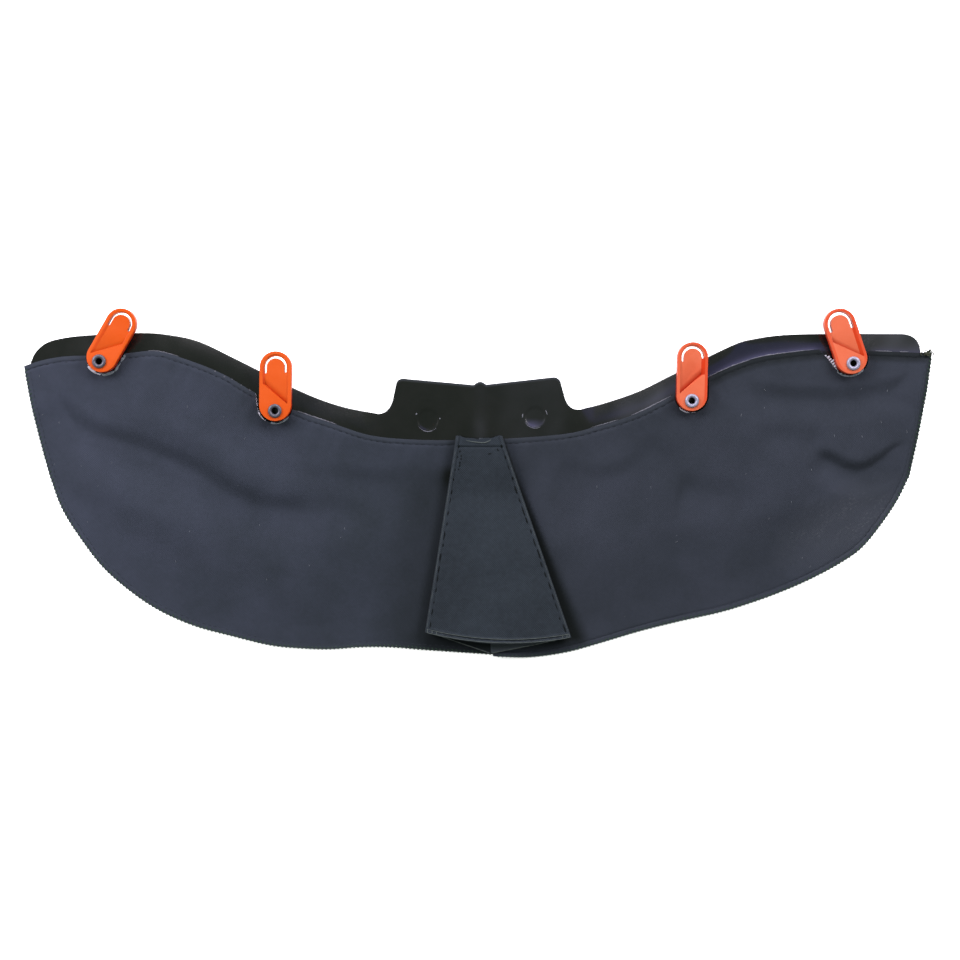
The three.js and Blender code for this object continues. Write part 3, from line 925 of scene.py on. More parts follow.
@dataclass
class CollarStrip:
    """The wavy formed strip with its centre tab."""

    thickness: float = 1.2
    width: float = 30.0
    crown: float = 2.4
    end_fade: float = 50.0
    ridge_height: float = 1.0
    ridge_half_width: float = 9.0
    ends: Pair = (-245.9, 243.3)
    corner: float = 11.0
    tab: Pair = (-47.0, 48.0)
    tab_rise: float = 17.0
    tab_blend: float = 16.0
    tab_flatness: float = 0.85
    fall: float = 16.0
    edge_rounding: float = 0.3
    boss_radius: float = 5.2
    boss_bore: float = 2.6
    boss_root: float = 0.6
    dimples: tuple[tuple[float, float, float, float], ...] = (
        (-27.5, 34.7, 6.4, 0.46), (31.4, 36.3, 6.2, 0.54))
    dimple_wall: float = 1.7
    polished: tuple[Pair, Pair] = ((112.0, 124.0), (194.0, 206.0))
    left_wave: Line = (
        (-245.9, 66.6), (-242.9, 72.4), (-236.6, 77.4), (-226.0, 80.0), (-211.8, 81.4), (-185.9, 82.5),
        (-169.4, 81.4), (-152.9, 77.6), (-130.9, 67.1), (-97.9, 50.6), (-75.9, 42.4), (-55.0, 38.0))
    right_wave: Line = (
        (56.1, 40.4), (71.5, 44.6), (88.6, 50.6), (107.8, 60.0), (139.2, 75.5), (152.4, 79.4),
        (168.3, 81.4), (190.9, 82.0), (232.1, 82.0))
    tab_edge: tuple[tuple[float, ...], ...] = (
        (-46.8, 45.7, -49.0, 38.0), (-45.0, 54.6), (-40.8, 57.4, -44.1, 57.6), (-2.2, 53.9),
        (4.4, 54.1, 1.1, 57.3), (40.6, 58.1), (45.5, 55.1, 44.4, 58.6), (47.9, 46.2),
        (56.1, 40.4, 50.1, 39.9))
    rows: int = 58
    fine_spacing: float = 0.55
    plain_spacing: float = 1.3
    fine_half: float = 58.0
    piece: Piece | None = field(default=None, init=False)

    def __post_init__(self) -> None:
        """Works out the band's upper edge and the outline."""
        steps = np.linspace(0.0, 1.0, 160)
        left, right = spline(self.left_wave, steps), spline(self.right_wave, steps)
        self._band = np.vstack([left, right])
        self._outline = np.vstack([left, *self._tab_stretches(), right[1:], self._right_corner()])

    @staticmethod
    def _bent(start: Array, bend: Array, end: Array, count: int) -> Array:
        """Curves from one point to another."""
        t = np.linspace(0.0, 1.0, count)[1:, None]
        return (1 - t) ** 2 * start + 2 * t * (1 - t) * bend + t * t * end

    def _tab_stretches(self) -> list[Array]:
        """Follows the tab's edge."""
        stretches = []
        start = np.array(self.left_wave[-1])
        for row in self.tab_edge:
            end = np.array(row[:2])
            bend = np.array(row[2:]) if len(row) > 2 else (start + end) / 2
            stretches.append(self._bent(start, bend, end, 24))
            start = end
        return stretches

    def _right_corner(self) -> Array:
        """Rounds the strip's upper right corner."""
        start = np.array(self.right_wave[-1])
        end = np.array([self.ends[1], start[1] - self.corner])
        return self._bent(start, np.array([end[0], start[1]]), end, 40)

    def _tab_share(self, x: Array) -> Array:
        """How far each place along the strip belongs to the tab, from 0 to 1."""
        left, right = self.tab
        return plateau(x, (left - self.tab_blend, left), (right, right + self.tab_blend))

    def lower(self, x: Array) -> Array:
        """The strip's lower edge, which the cloth hides."""
        return level(self._band, x) - self.width

    def upper(self, x: Array) -> Array:
        """The band's upper edge with the tab blended in."""
        return self.lower(x) + self.width + self.tab_rise * self._tab_share(x)

    def top(self, x: Array, y: Array) -> Array:
        """Shapes the strip's face: an arched band, flatter on the tab, with a ridge at the centre."""
        upper = self.upper(x)
        share = np.clip((upper - y) / (upper - self.lower(x)), 0.0, 1.0)
        arch = np.sin(math.pi * share)
        from_end = np.minimum(x - self.ends[0], self.ends[1] - x)
        ridge = self.ridge_height * bell(x, self.ridge_half_width) * arch
        crown = self.crown * (1 - self.tab_flatness * self._tab_share(x))
        return self.thickness + crown * arch * ease(from_end, 0.0, self.end_fade) + ridge

    def cloth_seat(self, x: Array, y: Array) -> Array:
        """Lays the middle of a cloth layer on the strip, from which it falls to the floor."""
        on_floor = CLOTH_THICKNESS / 2
        on_strip = self.top(x, y) + LAYER_GAP + on_floor
        return on_strip + (on_floor - on_strip) * ease(self.lower(x) - y, 0.0, self.fall)

    def _columns(self) -> Array:
        """Marks the outline closely along the tab and widely elsewhere."""
        fine = np.abs(self._outline[:, 0]) < self.fine_half
        first, last = np.flatnonzero(fine)[[0, -1]]
        left = evenly(self._outline[: first + 1], self.plain_spacing)
        middle = evenly(self._outline[first: last + 1], self.fine_spacing)
        right = evenly(self._outline[last:], self.plain_spacing)
        return np.vstack([left, middle[1:], right[1:]])

    def build(self, material: Material) -> None:
        """Shapes the strip from a flat sheet, gives it its wall and its bosses, and seats it.

        Args:
            material: The strip's material.
        """
        columns = self._columns()
        piece, across, up = add_grid("collar_strip_skin", len(columns) - 1, self.rows)
        column = np.rint(across * (len(columns) - 1)).astype(int)
        x, edge = columns[column].T
        from_end = np.minimum(np.minimum(x - self.ends[0], self.ends[1] - x), self.corner)
        rounding = self.corner - np.sqrt(self.corner**2 - (self.corner - from_end) ** 2)
        low = np.minimum(self.lower(x) + rounding, edge - 1.0)
        y = low + (edge - low) * up
        z = self.top(x, y) + ripple(x, y, 3, 34.0, 0.05)
        for dx, dy, radius, depth in self.dimples:
            z = z - depth * ebb(np.hypot(x - dx, y - dy), radius - self.dimple_wall, radius)
        set_shape(piece, np.column_stack([x, y, z]))
        # Paints sheen into the face, and a highlight along the tab's upper rim.
        mark(piece, WEAR_AND_LIGHT, np.maximum(self._wear_and_light(x, y), self._rim_highlight(x, edge - y)))
        # Paints a lavender sheen along the cloth's edge and a reflection in the right dimple.
        mark(piece, PAINTED_SHEEN, self._painted_sheen(x, y))
        mark(piece, POLISH, plateau(x, *self.polished))
        modify(piece, "SOLIDIFY", thickness=self.thickness * MM, offset=-1.0)
        bevel(piece, self.edge_rounding, 2, 60.0)
        join([piece, *(self._boss(spot) for spot in CLIP_SPOTS)])
        smooth(piece, 50.0)
        dress(piece, material)
        seat(piece, CURTAIN, "collar_strip")
        self.piece = piece

    def _wear_and_light(self, x: Array, y: Array) -> Array:
        """Paints sheen onto the face: down the tab's centre, on its right, on the band before the third
        clip and at the right end.
        """
        uneven = 1 + ripple(x, y, 9, 14.0, 0.25)
        centre = bell(x - 1.0, 3.6) * (0.04 + 0.34 * bell(y - 29.0, 7.0))
        low = ebb(y - self.lower(x), 20.0, 29.0)
        mid_sheen = 0.75 * plateau(x, (62.0, 92.0), (108.0, 128.0)) * (0.35 + 0.65 * low)
        end = 0.75 * ease(x, 206.0, 226.0)
        tab_right = 0.14 * plateau(x, (4.0, 20.0), (42.0, 54.0))
        return np.clip((centre + mid_sheen + end + tab_right) * uneven, 0.0, 1.0)

    def _rim_highlight(self, x: Array, below_edge: Array) -> Array:
        """Paints a highlight along the tab's upper rim, by the distance below it."""
        along = ebb(np.abs(x), self.tab[1] - 3.0, self.tab[1] + 5.0)
        return ebb(below_edge, 0.3, 1.8) * along

    def _painted_sheen(self, x: Array, y: Array) -> Array:
        """Paints sheen onto the face: a lavender streak along the cloth's edge on the right, and a
        reflection on the right dimple's lower wall.
        """
        above = y - level(RIGHT_PANEL.top_line(), x)
        along = plateau(x, (118.0, 142.0), (182.0, 196.0)) + 0.6 * ease(x, 212.0, 220.0)
        painted_streak = along * (0.55 * bell(above, 1.6) + 0.34 * bell(above, 3.2))
        dimple_x, dimple_y, radius, _ = self.dimples[1]
        inside = ebb(np.hypot(x - dimple_x, y - dimple_y), radius - 0.9, radius)
        foot = 0.8 * inside * ease(dimple_y - y, 0.5, 4.5)
        return np.maximum(painted_streak, foot * (1 - 0.6 * ease(x - dimple_x, -2.0, 4.0)))

    def _boss(self, spot: ClipSpot) -> Piece:
        """Turns the low boss that a clip swivels on.

        Args:
            spot: The clip's spot.

        Returns:
            The boss.
        """
        low = float(self.top(np.array(spot.x), np.array(spot.y))) - self.boss_root
        high = spot.pivot_m.z / MM - LAYER_GAP
        deselect()
        place = in_frame(np.array([spot.x, spot.y, (low + high) / 2]))
        bpy.ops.mesh.primitive_cylinder_add(
            vertices=48, radius=self.boss_radius * MM, depth=(high - low) * MM, location=place)
        boss = new_piece(f"boss_{spot.number}")
        bevel(boss, 0.4, 3, 40.0)
        bpy.ops.mesh.primitive_cylinder_add(
            vertices=32, radius=self.boss_bore * MM, depth=0.03, location=place)
        cut(boss, new_piece("boss_bore"))
        return boss


@dataclass(frozen=True)
class Fold:
    """A soft fold along a line from left to right.

    It rises above the cloth or falls below it on both sides of the line alike, or, where it has a recovery,
    it is a ledge: the cloth falls off below the line and comes back over that distance.
    """

    line: Line
    rise: float
    half_width: float
    taper: float = 0.25
    recovery: float = 0.0

    def at(self, x: Array, y: Array) -> Array:
        """Shapes the fold, faded out towards its ends."""
        path = spline(self.line, np.linspace(0.0, 1.0, 40))
        away, share = distance_to(path, x, y)
        ends = ease(np.minimum(share, 1 - share), 0.0, self.taper)
        if not self.recovery:
            return self.rise * bell(away, self.half_width) * ends
        below = np.where(y < level(path, x), away, -away)
        back = ebb(below, self.half_width, self.half_width + self.recovery)
        return self.rise * ease(below, -self.half_width, self.half_width) * back * ends


@dataclass
class ClothPanel:
    """Half of the curtain, ruled from the sewn top edge to the hem."""

    name: str
    node: str
    side: Side
    ribs: tuple[tuple[float, float, float, float], ...]
    folds: tuple[Fold, ...]
    spots: tuple[ClipSpot, ...]
    seed: int
    columns: int = 250
    rows: int = 112
    side_bow: float = 1.1
    dome: float = 4.3
    dome_hem_side: float = 26.0
    dome_hem_spread: float = 36.0
    dome_pleat_side: float = 46.0
    side_bow_reach: float = 45.0
    hem_width: float = 2.9
    hem_rise: float = 0.12
    hem_groove: float = 0.0
    seam_depth: float = 2.6
    seam_rise: float = 0.25
    seam_groove: float = 0.15
    lap_rise: float = 1.8
    hem_wear: float = 0.08
    seam_wear: float = 0.12
    pucker_rise: float = 0.25
    pucker_reach: float = 14.0
    edge_step: float = 4.0
    edge_rounding: float = 0.32
    notch_half: float = 9.5
    notch_centre: float = 3.2
    notch_length: float = 32.0
    piece: Piece | None = field(default=None, init=False)

    def flat(self, u: Array, v: Array) -> tuple[Array, Array]:
        """Lays the panel out flat.

        Args:
            u: Shares of the way to the right.
            v: Shares of the way from the hem to the top edge.

        Returns:
            The places' x and y.
        """
        rib = spline(self.ribs, np.atleast_1d(u))
        x = between((rib[:, 2], rib[:, 0]), v)
        y = between((rib[:, 3], rib[:, 1]), v)
        outer = max(abs(row[0]) for row in self.ribs)
        near_side = ease(np.abs(rib[:, 0]), outer - self.side_bow_reach, outer)
        return x + self.side.value * near_side * self.side_bow * np.sin(math.pi * v), y

    def top_line(self) -> Array:
        """The sewn top edge from left to right."""
        u = np.linspace(0.0, 1.0, 260)
        return np.column_stack(self.flat(u, np.ones_like(u)))

    def outer_line(self) -> Array:
        """Follows the outer side and the hem."""
        v = np.linspace(1.0, 0.0, 60)
        u = np.linspace(0.0, 1.0, 260)
        if self.side is Side.RIGHT:
            u = 1 - u
        side = np.column_stack(self.flat(np.full_like(v, u[0]), v))
        hem = np.column_stack(self.flat(u, np.zeros_like(u)))
        return np.vstack([side, hem[1:]])

    def _gaps(self, x: Array, y: Array) -> tuple[Array, Array, Array]:
        """Measures how far places lie from the panel's edges.

        Args:
            x: Places along x.
            y: Places along y.

        Returns:
            The distances to the outer edge and to the sewn one, and the nearest share of the sewn one.
        """
        outer_gap, _ = distance_to(evenly(self.outer_line(), self.edge_step), x, y)
        return outer_gap, *distance_to(evenly(self.top_line(), self.edge_step), x, y)

    def height(self, x: Array, y: Array, v: Array, strip: CollarStrip) -> Array:
        """Shapes the cloth: dome, folds, hem, sewn edge and the lap at the pleat.

        Args:
            x: Places along x.
            y: Places along y.
            v: The places' shares of the way from the hem to the top edge.
            strip: The strip that the cloth lies on.

        Returns:
            The height of the cloth's middle at each place.
        """
        hem_gap, top_gap, along = self._gaps(x, y)
        pleat_gap = self.side.value * (x - PLEAT.side_edge(self.side, y))
        swell = self.dome + ripple(x, y, self.seed, 55.0, 0.4) + ripple(x, y, self.seed + 1, 21.0, 0.10)
        hem_side = self.dome_hem_side + self.dome_hem_spread * ease(-y, -10.0, 40.0)
        swell = swell * ease(hem_gap, 0.0, hem_side) * ease(pleat_gap, -4.0, self.dome_pleat_side)
        folds = sum(fold.at(x, y) for fold in self.folds) * ease(np.minimum(hem_gap, top_gap), 2.0, 12.0)
        loose = CLOTH_THICKNESS / 2 + np.maximum(0.0, higher(swell + folds, 0.0, 0.8) - 0.4)
        hem = self.hem_rise * ebb(hem_gap, self.hem_width - 0.7, self.hem_width)
        hem = hem - self.hem_groove * bell(hem_gap - self.hem_width, 0.55)
        seam = self.seam_rise * ebb(top_gap, self.seam_depth - 0.8, self.seam_depth)
        seam = seam - self.seam_groove * bell(top_gap - self.seam_depth, 0.7)
        bulge = ease(top_gap, self.seam_depth, self.seam_depth + 2.0) * bell(top_gap, self.pucker_reach)
        pucker = self.pucker_rise * bulge * (1 + 0.8 * np.sin(along * 150.0 + 2.0 * np.sin(along * 37.0)))
        lap = 0.0
        if self.side is Side.RIGHT:
            inner = between((self.ribs[0][2], self.ribs[0][0]), v)
            lap = self.lap_rise * ebb(x - inner, 5.0, 26.0)
        return higher(strip.cloth_seat(x, y), loose, 0.5) + hem + seam + pucker + lap

    def build(self, strip: CollarStrip, material: Material) -> None:
        """Shapes the panel from a flat sheet, notches it round its clips and seats it.

        Args:
            strip: The strip that the cloth lies on.
            material: The cloth's material.
        """
        piece, u, v = add_grid(self.name, self.columns, self.rows)
        v = v - 0.55 * np.sin(math.tau * v) / math.tau
        x, y = self.flat(u, v)
        set_shape(piece, np.column_stack([x, y, self.height(x, y, v, strip)]))
        mark(piece, WEAR_AND_LIGHT, self._wear_and_light(x, y))
        # Paints shade beside the flap and under the sewn edge.
        mark(piece, PAINTED_SHADE, self._painted_shade(x, y))
        modify(piece, "SOLIDIFY", thickness=CLOTH_THICKNESS * MM, offset=0.0)
        bevel(piece, self.edge_rounding, 2, 60.0)
        for spot in self.spots:
            for lean in sorted({spot.lean, spot.notch_lean}):
                cut(piece, self._notch(spot, lean))
        smooth(piece, 50.0)
        dress(piece, material)
        seat(piece, CURTAIN, self.node)
        self.piece = piece

    def _wear_and_light(self, x: Array, y: Array) -> Array:
        """Tells how far the hem and the sewn edge are worn pale."""
        hem_gap, top_gap, _ = self._gaps(x, y)
        hem = self.hem_wear * ebb(hem_gap, self.hem_width - 1.0, self.hem_width)
        seam = self.seam_wear * ebb(top_gap, self.seam_depth - 1.0, self.seam_depth)
        return np.maximum(hem, seam)

    def _painted_shade(self, x: Array, y: Array) -> Array:
        """Paints shade into the cloth: beside the flap and, on the right, below its edges, under the sewn
        edge and along the upper side edge.

        Args:
            x: Places along x.
            y: Places along y.

        Returns:
            The painted shade at each place, from 0 to 1.
        """
        gap = self.side.value * (x - PLEAT.side_edge(self.side, y))
        if self.side is Side.LEFT:
            # Painted shadow beside the flap, darkest in a patch at its upper left.
            patch = 0.5 * bell(np.hypot((x + 16.0) / 0.7, y - 3.5), 6.0)
            broad = 0.38 * ebb(gap, 8.0, 36.0) * (1 - 0.6 * ease(y, 4.0, 13.0))
            return patch + broad + 0.25 * ebb(gap, 0.0, 8.0)
        # Painted shadow beside and under the flap's right edge, widening downwards, and painted shade under
        # the sewn edge.
        width = 2.2 + 0.12 * np.maximum(0.0, 7.0 - y)
        crease = 0.93 * ebb(gap / width, 0.2, 1.0) * ease(y, -92.0, -84.0)
        hem_gap, top_gap, _ = self._gaps(x, y)
        under_seam = 0.7 * ebb(top_gap, 3.0, 7.0) * ease(x, 105.0, 135.0)
        side = 0.5 * ebb(hem_gap, 1.4, 3.0) * ease(y, -10.0, 15.0)
        return np.maximum(np.maximum(crease, under_seam), side)

    def notch_line(self, spot: ClipSpot, lean: float) -> Array:
        """Draws the U-shaped cut round a clip's lower end."""
        turns = np.linspace(math.pi, math.tau, 41)
        arc = np.column_stack([np.cos(turns), np.sin(turns)]) * self.notch_half + (0.0, self.notch_centre)
        legs = np.array([[-self.notch_half, self.notch_length], [self.notch_half, self.notch_length]])
        line = np.vstack([legs[:1], arc, legs[1:]]) + (spot.notch_shift, 0.0)
        angle = math.radians(-lean)
        turn = np.array([[math.cos(angle), -math.sin(angle)], [math.sin(angle), math.cos(angle)]])
        return line @ turn.T + (spot.x, spot.y)

    def _notch(self, spot: ClipSpot, lean: float) -> Piece:
        """Pulls the notch's outline into a cutter.

        Args:
            spot: The clip's spot.
            lean: The cut's lean in degrees clockwise.

        Returns:
            The cutter.
        """
        line = self.notch_line(spot, lean)
        deselect()
        bpy.ops.mesh.primitive_circle_add(vertices=len(line), radius=1.0, fill_type="NGON")
        cutter = new_piece("notch_cutter")
        set_shape(cutter, np.column_stack([line, np.full(len(line), -5.0)]))
        bpy.ops.object.mode_set(mode="EDIT")
        bpy.ops.mesh.select_all(action="SELECT")
        bpy.ops.mesh.extrude_region_move(TRANSFORM_OT_translate={"value": (0.0, 0.0, 30.0 * MM)})
        turn_faces_out(cutter)
        return cutter


@dataclass
class BoxPleat:
    """The centre pleat: a tapered flap whose two returns are folded behind it."""

    name: str = "pleat_cloth"
    top_y: float = 24.6
    hem_left_y: float = -81.9
    hem_right_y: float = -84.6
    hem_centre_y: float = -93.4
    hem_bow: float = 4.2
    crown: float = 0.8
    split: float = 0.1
    stack: float = 2.9
    left: Pair = (-28.6, -11.6)
    right: Pair = (50.6, 12.9)
    centre: Pair = (7.0, 0.5)
    fold_radius: Pair = (2.1, 0.95)
    rim: float = 1.6
    rim_rise: float = 0.3
    rim_groove: float = 0.4
    hem_ridge: float = 0.5
    rim_wear: float = 0.12
    right_return_lift: float = 2.6
    # Painted light on the right return, which lies in the flap's shadow.
    right_return_light: float = 0.7
    # Painted shade on the left return, which lies in the flap's shadow.
    left_return_shade: float = 0.7
    top_band: float = 4.6
    ears: Pair = (0.04, 0.94)
    ear_rise: float = 1.3
    dip: float = 0.47
    dip_depth: float = 0.8
    edge_rounding: float = 0.3
    return_columns: int = 26
    fold_columns: int = 10
    flap_columns: int = 74
    rows: int = 150
    flat_size: Pair = (0.166, 0.118)
    piece: Piece | None = field(default=None, init=False)

    def hem(self, across: Array) -> Array:
        """The flap's hem, bowed down between its corners."""
        chord = between((self.hem_left_y, self.hem_right_y), across)
        return chord - self.hem_bow * 4 * across * (1 - across)

    def flap(self, across: Array, v: Array) -> tuple[Array, Array]:
        """Finds places on the flap's face."""
        x = between((between(self.left, v), between(self.right, v)), across)
        return x, between((self.hem(across), self.top_y), v)

    def surface(self, u: Array, v: Array, strip: CollarStrip) -> Array:
        """Folds the cloth.

        Args:
            u: Shares of the way along its section, from one return's edge to the other's.
            v: Shares of the way from the hem to the sewn top.
            strip: The strip that the pleat is sewn to.

        Returns:
            The place of the cloth's middle at each share.
        """
        zone, share = self._zones(u)
        side = np.array([-1, -1, 0, 1, 1])[zone]
        left, right, centre, radius = (
            between(pair, v) for pair in (self.left, self.right, self.centre, self.fold_radius))
        corner = np.where(side < 0, 0.0, 1.0)
        fold_start = np.where(side < 0, left, right) - side * radius
        is_return, is_flap = np.isin(zone, (0, 4)), zone == 2
        x = np.select(
            [is_return, is_flap],
            [between((centre + side * self.split, fold_start), share),
             between((left + radius, right - radius), share)],
            fold_start + side * radius * np.sin(math.pi * share))
        raised = self.right_return_lift * ebb(v, 0.0, 0.25) * ease(share, 0.0, 0.5)
        lift = np.select(
            [is_return, is_flap],
            [np.where(side > 0, raised, 0.0), 2 * radius + self.crown * 4 * share * (1 - share)],
            radius * (1 - np.cos(math.pi * share)))
        hem = np.select(
            [is_return, is_flap],
            [between((self.hem_centre_y, self.hem(corner)), share), self.hem(share)],
            self.hem(corner))
        across = np.clip((x - left) / (right - left), 0.0, 1.0)
        ears = self.ear_rise * sum(bell(across - ear, 0.10) for ear in self.ears)
        ears = ears - self.dip_depth * bell(across - self.dip, 0.08)
        y = between((hem, self.top_y), v) + np.where(is_return, 0.0, ears) * ease(v, 0.93, 1.0)
        lift = lift + np.where(is_flap, self._face(x, y, left, right, hem), 0.0)
        return np.column_stack([x, y, strip.cloth_seat(x, y) + self.stack + lift])

    def _zones(self, u: Array) -> tuple[Array, Array]:
        """Tells on which part of the section each place lies: return, fold, flap, fold or return.

        Args:
            u: Shares of the way along the section.

        Returns:
            The part's number, and the place's share of the way inwards over it.
        """
        half = (self.return_columns, self.fold_columns)
        counts = (*half, self.flap_columns, *half[::-1])
        edges = np.concatenate([[0], np.cumsum(counts)])
        step = u * edges[-1]
        zone = np.clip(np.searchsorted(edges, step, side="right") - 1, 0, 4)
        share = (step - edges[zone]) / np.array(counts)[zone]
        return zone, np.where(zone > 2, 1 - share, share)

    def _wear_and_light(self, u: Array, v: Array, places: Array) -> Array:
        """Tells how far the flap's rims and its hem are worn pale, and paints light onto the right return,
        which lies in the flap's shadow.
        """
        zone, _ = self._zones(u)
        left, right = (between(pair, v) for pair in (self.left, self.right))
        from_edge = np.minimum(places[:, 0] - left, right - places[:, 0])
        above = places[:, 1] - self.hem(np.clip((places[:, 0] - left) / (right - left), 0.0, 1.0))
        side_rim = ebb(from_edge, self.rim - 0.7, self.rim)
        hem_rim = ebb(above, 2.2, 2.9)
        worn = self.rim_wear * np.maximum(side_rim, hem_rim)
        return np.select([zone == 0, zone == 4], [0.0, self.right_return_light], worn)

    def _face(self, x: Array, y: Array, left: Array, right: Array, hem: Array) -> Array:
        """Shapes the flap's stitched rims and its slight swell.

        Args:
            x: Places along x.
            y: Places along y.
            left: The flap's left edge beside each place.
            right: Its right edge beside each place.
            hem: Its hem below each place.

        Returns:
            How far each place stands off the plain flap.
        """
        from_edge = np.minimum(x - left, right - x)
        above = y - hem
        below = self.top_y - y
        side_rim = self.rim_rise * ebb(from_edge, self.rim - 0.6, self.rim)
        side_rim = side_rim - self.rim_groove * bell(from_edge - self.rim - 0.2, 0.5)
        hem_rim = self.hem_ridge * (bell(above - 0.5, 0.45) + bell(above - 2.3, 0.45))
        top_band = self.rim_rise * ebb(below, self.top_band - 0.8, self.top_band)
        crease = -0.35 * bell(below - self.top_band - 0.4, 0.6)
        swell = ripple(x, y, 41, 26.0, 0.2) * ease(from_edge, 0.0, 8.0)
        return side_rim + hem_rim + top_band + crease + swell

    def side_edge(self, side: Side, y: Array) -> Array:
        """Follows one side edge of the flap."""
        is_left = side is Side.LEFT
        foot = self.hem_left_y if is_left else self.hem_right_y
        share = np.clip((y - foot) / (self.top_y - foot), 0.0, 1.0)
        return between(self.left if is_left else self.right, share)

    def build(self, strip: CollarStrip, panels: list[Piece], material: Material) -> None:
        """Shapes the pleat from a flat sheet and seats it.

        Args:
            strip: The strip that the pleat is sewn to.
            panels: The cloth that it lies on; not used.
            material: Its own material.
        """
        columns = 2 * (self.return_columns + self.fold_columns) + self.flap_columns
        piece, u, v = add_grid(self.name, columns, self.rows)
        v = v - 0.7 * np.sin(math.tau * v) / math.tau
        places = self.surface(u, v, strip)
        set_shape(piece, places)
        # Wear on the flap's rims and hem, and painted light on the right return.
        mark(piece, WEAR_AND_LIGHT, self._wear_and_light(u, v, places))
        # Paints shade onto the left return.
        mark(piece, PAINTED_SHADE, np.where(self._zones(u)[0] == 0, self.left_return_shade, 0.0))
        modify(piece, "SOLIDIFY", thickness=CLOTH_THICKNESS * MM, offset=0.0)
        bevel(piece, self.edge_rounding, 2, 60.0)
        smooth(piece, 50.0)
        dress(piece, material)
        seat(piece, CURTAIN, "pleat")
        self.piece = piece


PLEAT = BoxPleat()
LEFT_PANEL = ClothPanel(
    name="left_cloth", node="left_panel", side=Side.LEFT, seed=11, spots=CLIP_SPOTS[:2],
    ribs=(
        (-249.3, 64.3, -235.4, 3.9), (-238.2, 67.6, -228.8, -13.8), (-226.6, 69.3, -217.8, -31.4),
        (-212.3, 69.9, -203.5, -49.0), (-193.1, 71.0, -181.0, -66.6), (-176.0, 72.1, -158.4, -77.6),
        (-156.8, 66.6, -134.8, -84.2), (-139.2, 59.4, -114.4, -89.1), (-122.1, 49.5, -97.9, -90.8),
        (-100.1, 39.6, -81.4, -91.3), (-79.2, 32.5, -64.9, -90.2), (-57.8, 25.9, -48.4, -90.2),
        (-31.4, 23.7, -26.4, -91.9), (3.7, 23.7, 10.8, -94.4)),
    folds=(
        Fold(((-236.0, 56.0), (-229.9, 45.7), (-222.8, 39.1), (-209.0, 30.3), (-184.8, 22.5), (-152.9, 8.3),
              (-133.7, -2.8), (-117.7, -9.4), (-102.0, -11.0), (-86.0, -11.0)), -4.0, 6.5, 0.2, 30.0),
        Fold(((-205.0, 44.0), (-160.0, 26.0), (-130.0, 9.0), (-104.0, 0.0), (-70.0, -1.0)), 1.5, 8.0),
        Fold(((-122.0, 15.0), (-108.0, 10.0), (-96.3, 7.2), (-69.9, 6.1), (-50.0, 4.5), (-30.0, 8.0)),
             -1.3, 5.5, 0.2, 30.0),
        Fold(((-112.0, -12.0), (-97.0, -11.5), (-78.0, -11.0), (-60.0, -9.0)), -1.2, 6.0, 0.3, 20.0),
        Fold(((-118.0, -79.0), (-96.0, -80.5), (-74.0, -77.0)), -1.2, 6.0, 0.4, 8.0)))

RIGHT_PANEL = ClothPanel(
    name="right_cloth", node="right_panel", side=Side.RIGHT, seed=23, spots=CLIP_SPOTS[2:], hem_groove=0.3,
    dome_pleat_side=11.0,
    ribs=(
        (1.4, 23.7, 8.2, -95.2), (24.0, 24.8, 28.6, -95.7), (48.4, 27.0, 48.4, -93.0),
        (62.7, 30.3, 64.9, -88.6), (85.3, 37.4, 89.1, -81.4), (105.6, 47.3, 111.1, -75.9),
        (127.1, 58.3, 133.1, -71.0), (139.2, 63.8, 149.6, -66.0), (154.0, 68.8, 166.1, -60.0),
        (171.6, 71.5, 182.6, -52.8), (188.1, 73.2, 198.0, -44.6), (201.9, 72.9, 210.7, -35.8),
        (215.6, 72.3, 221.7, -22.6), (232.1, 71.8, 230.5, -9.4), (249.3, 71.4, 237.1, 3.9)),
    folds=(
        Fold(((182.0, 19.5), (194.0, 14.5), (202.0, 10.5), (210.0, 9.3), (218.4, 12.5), (228.8, 18.5),
              (241.0, 22.5)), -4.3, 3.9, 0.16, 15.0),
        Fold(((150.0, 26.0), (172.0, 24.0), (190.0, 19.0)), -1.6, 8.0),
        Fold(((140.0, 54.5), (171.6, 50.0), (204.6, 50.0), (232.0, 55.6), (247.0, 60.0)),
             -2.2, 5.0, 0.2, 15.0),
        Fold(((44.0, 14.0), (55.0, 9.0), (65.5, 6.6), (75.0, 8.0), (84.2, 12.1), (94.6, 23.1),
              (104.0, 30.0)), -1.4, 5.0, 0.2, 40.0),
        Fold(((108.0, 2.0), (118.0, 0.5), (138.6, -2.2), (160.0, -6.0)), -1.8, 7.0, 0.25, 24.0)))


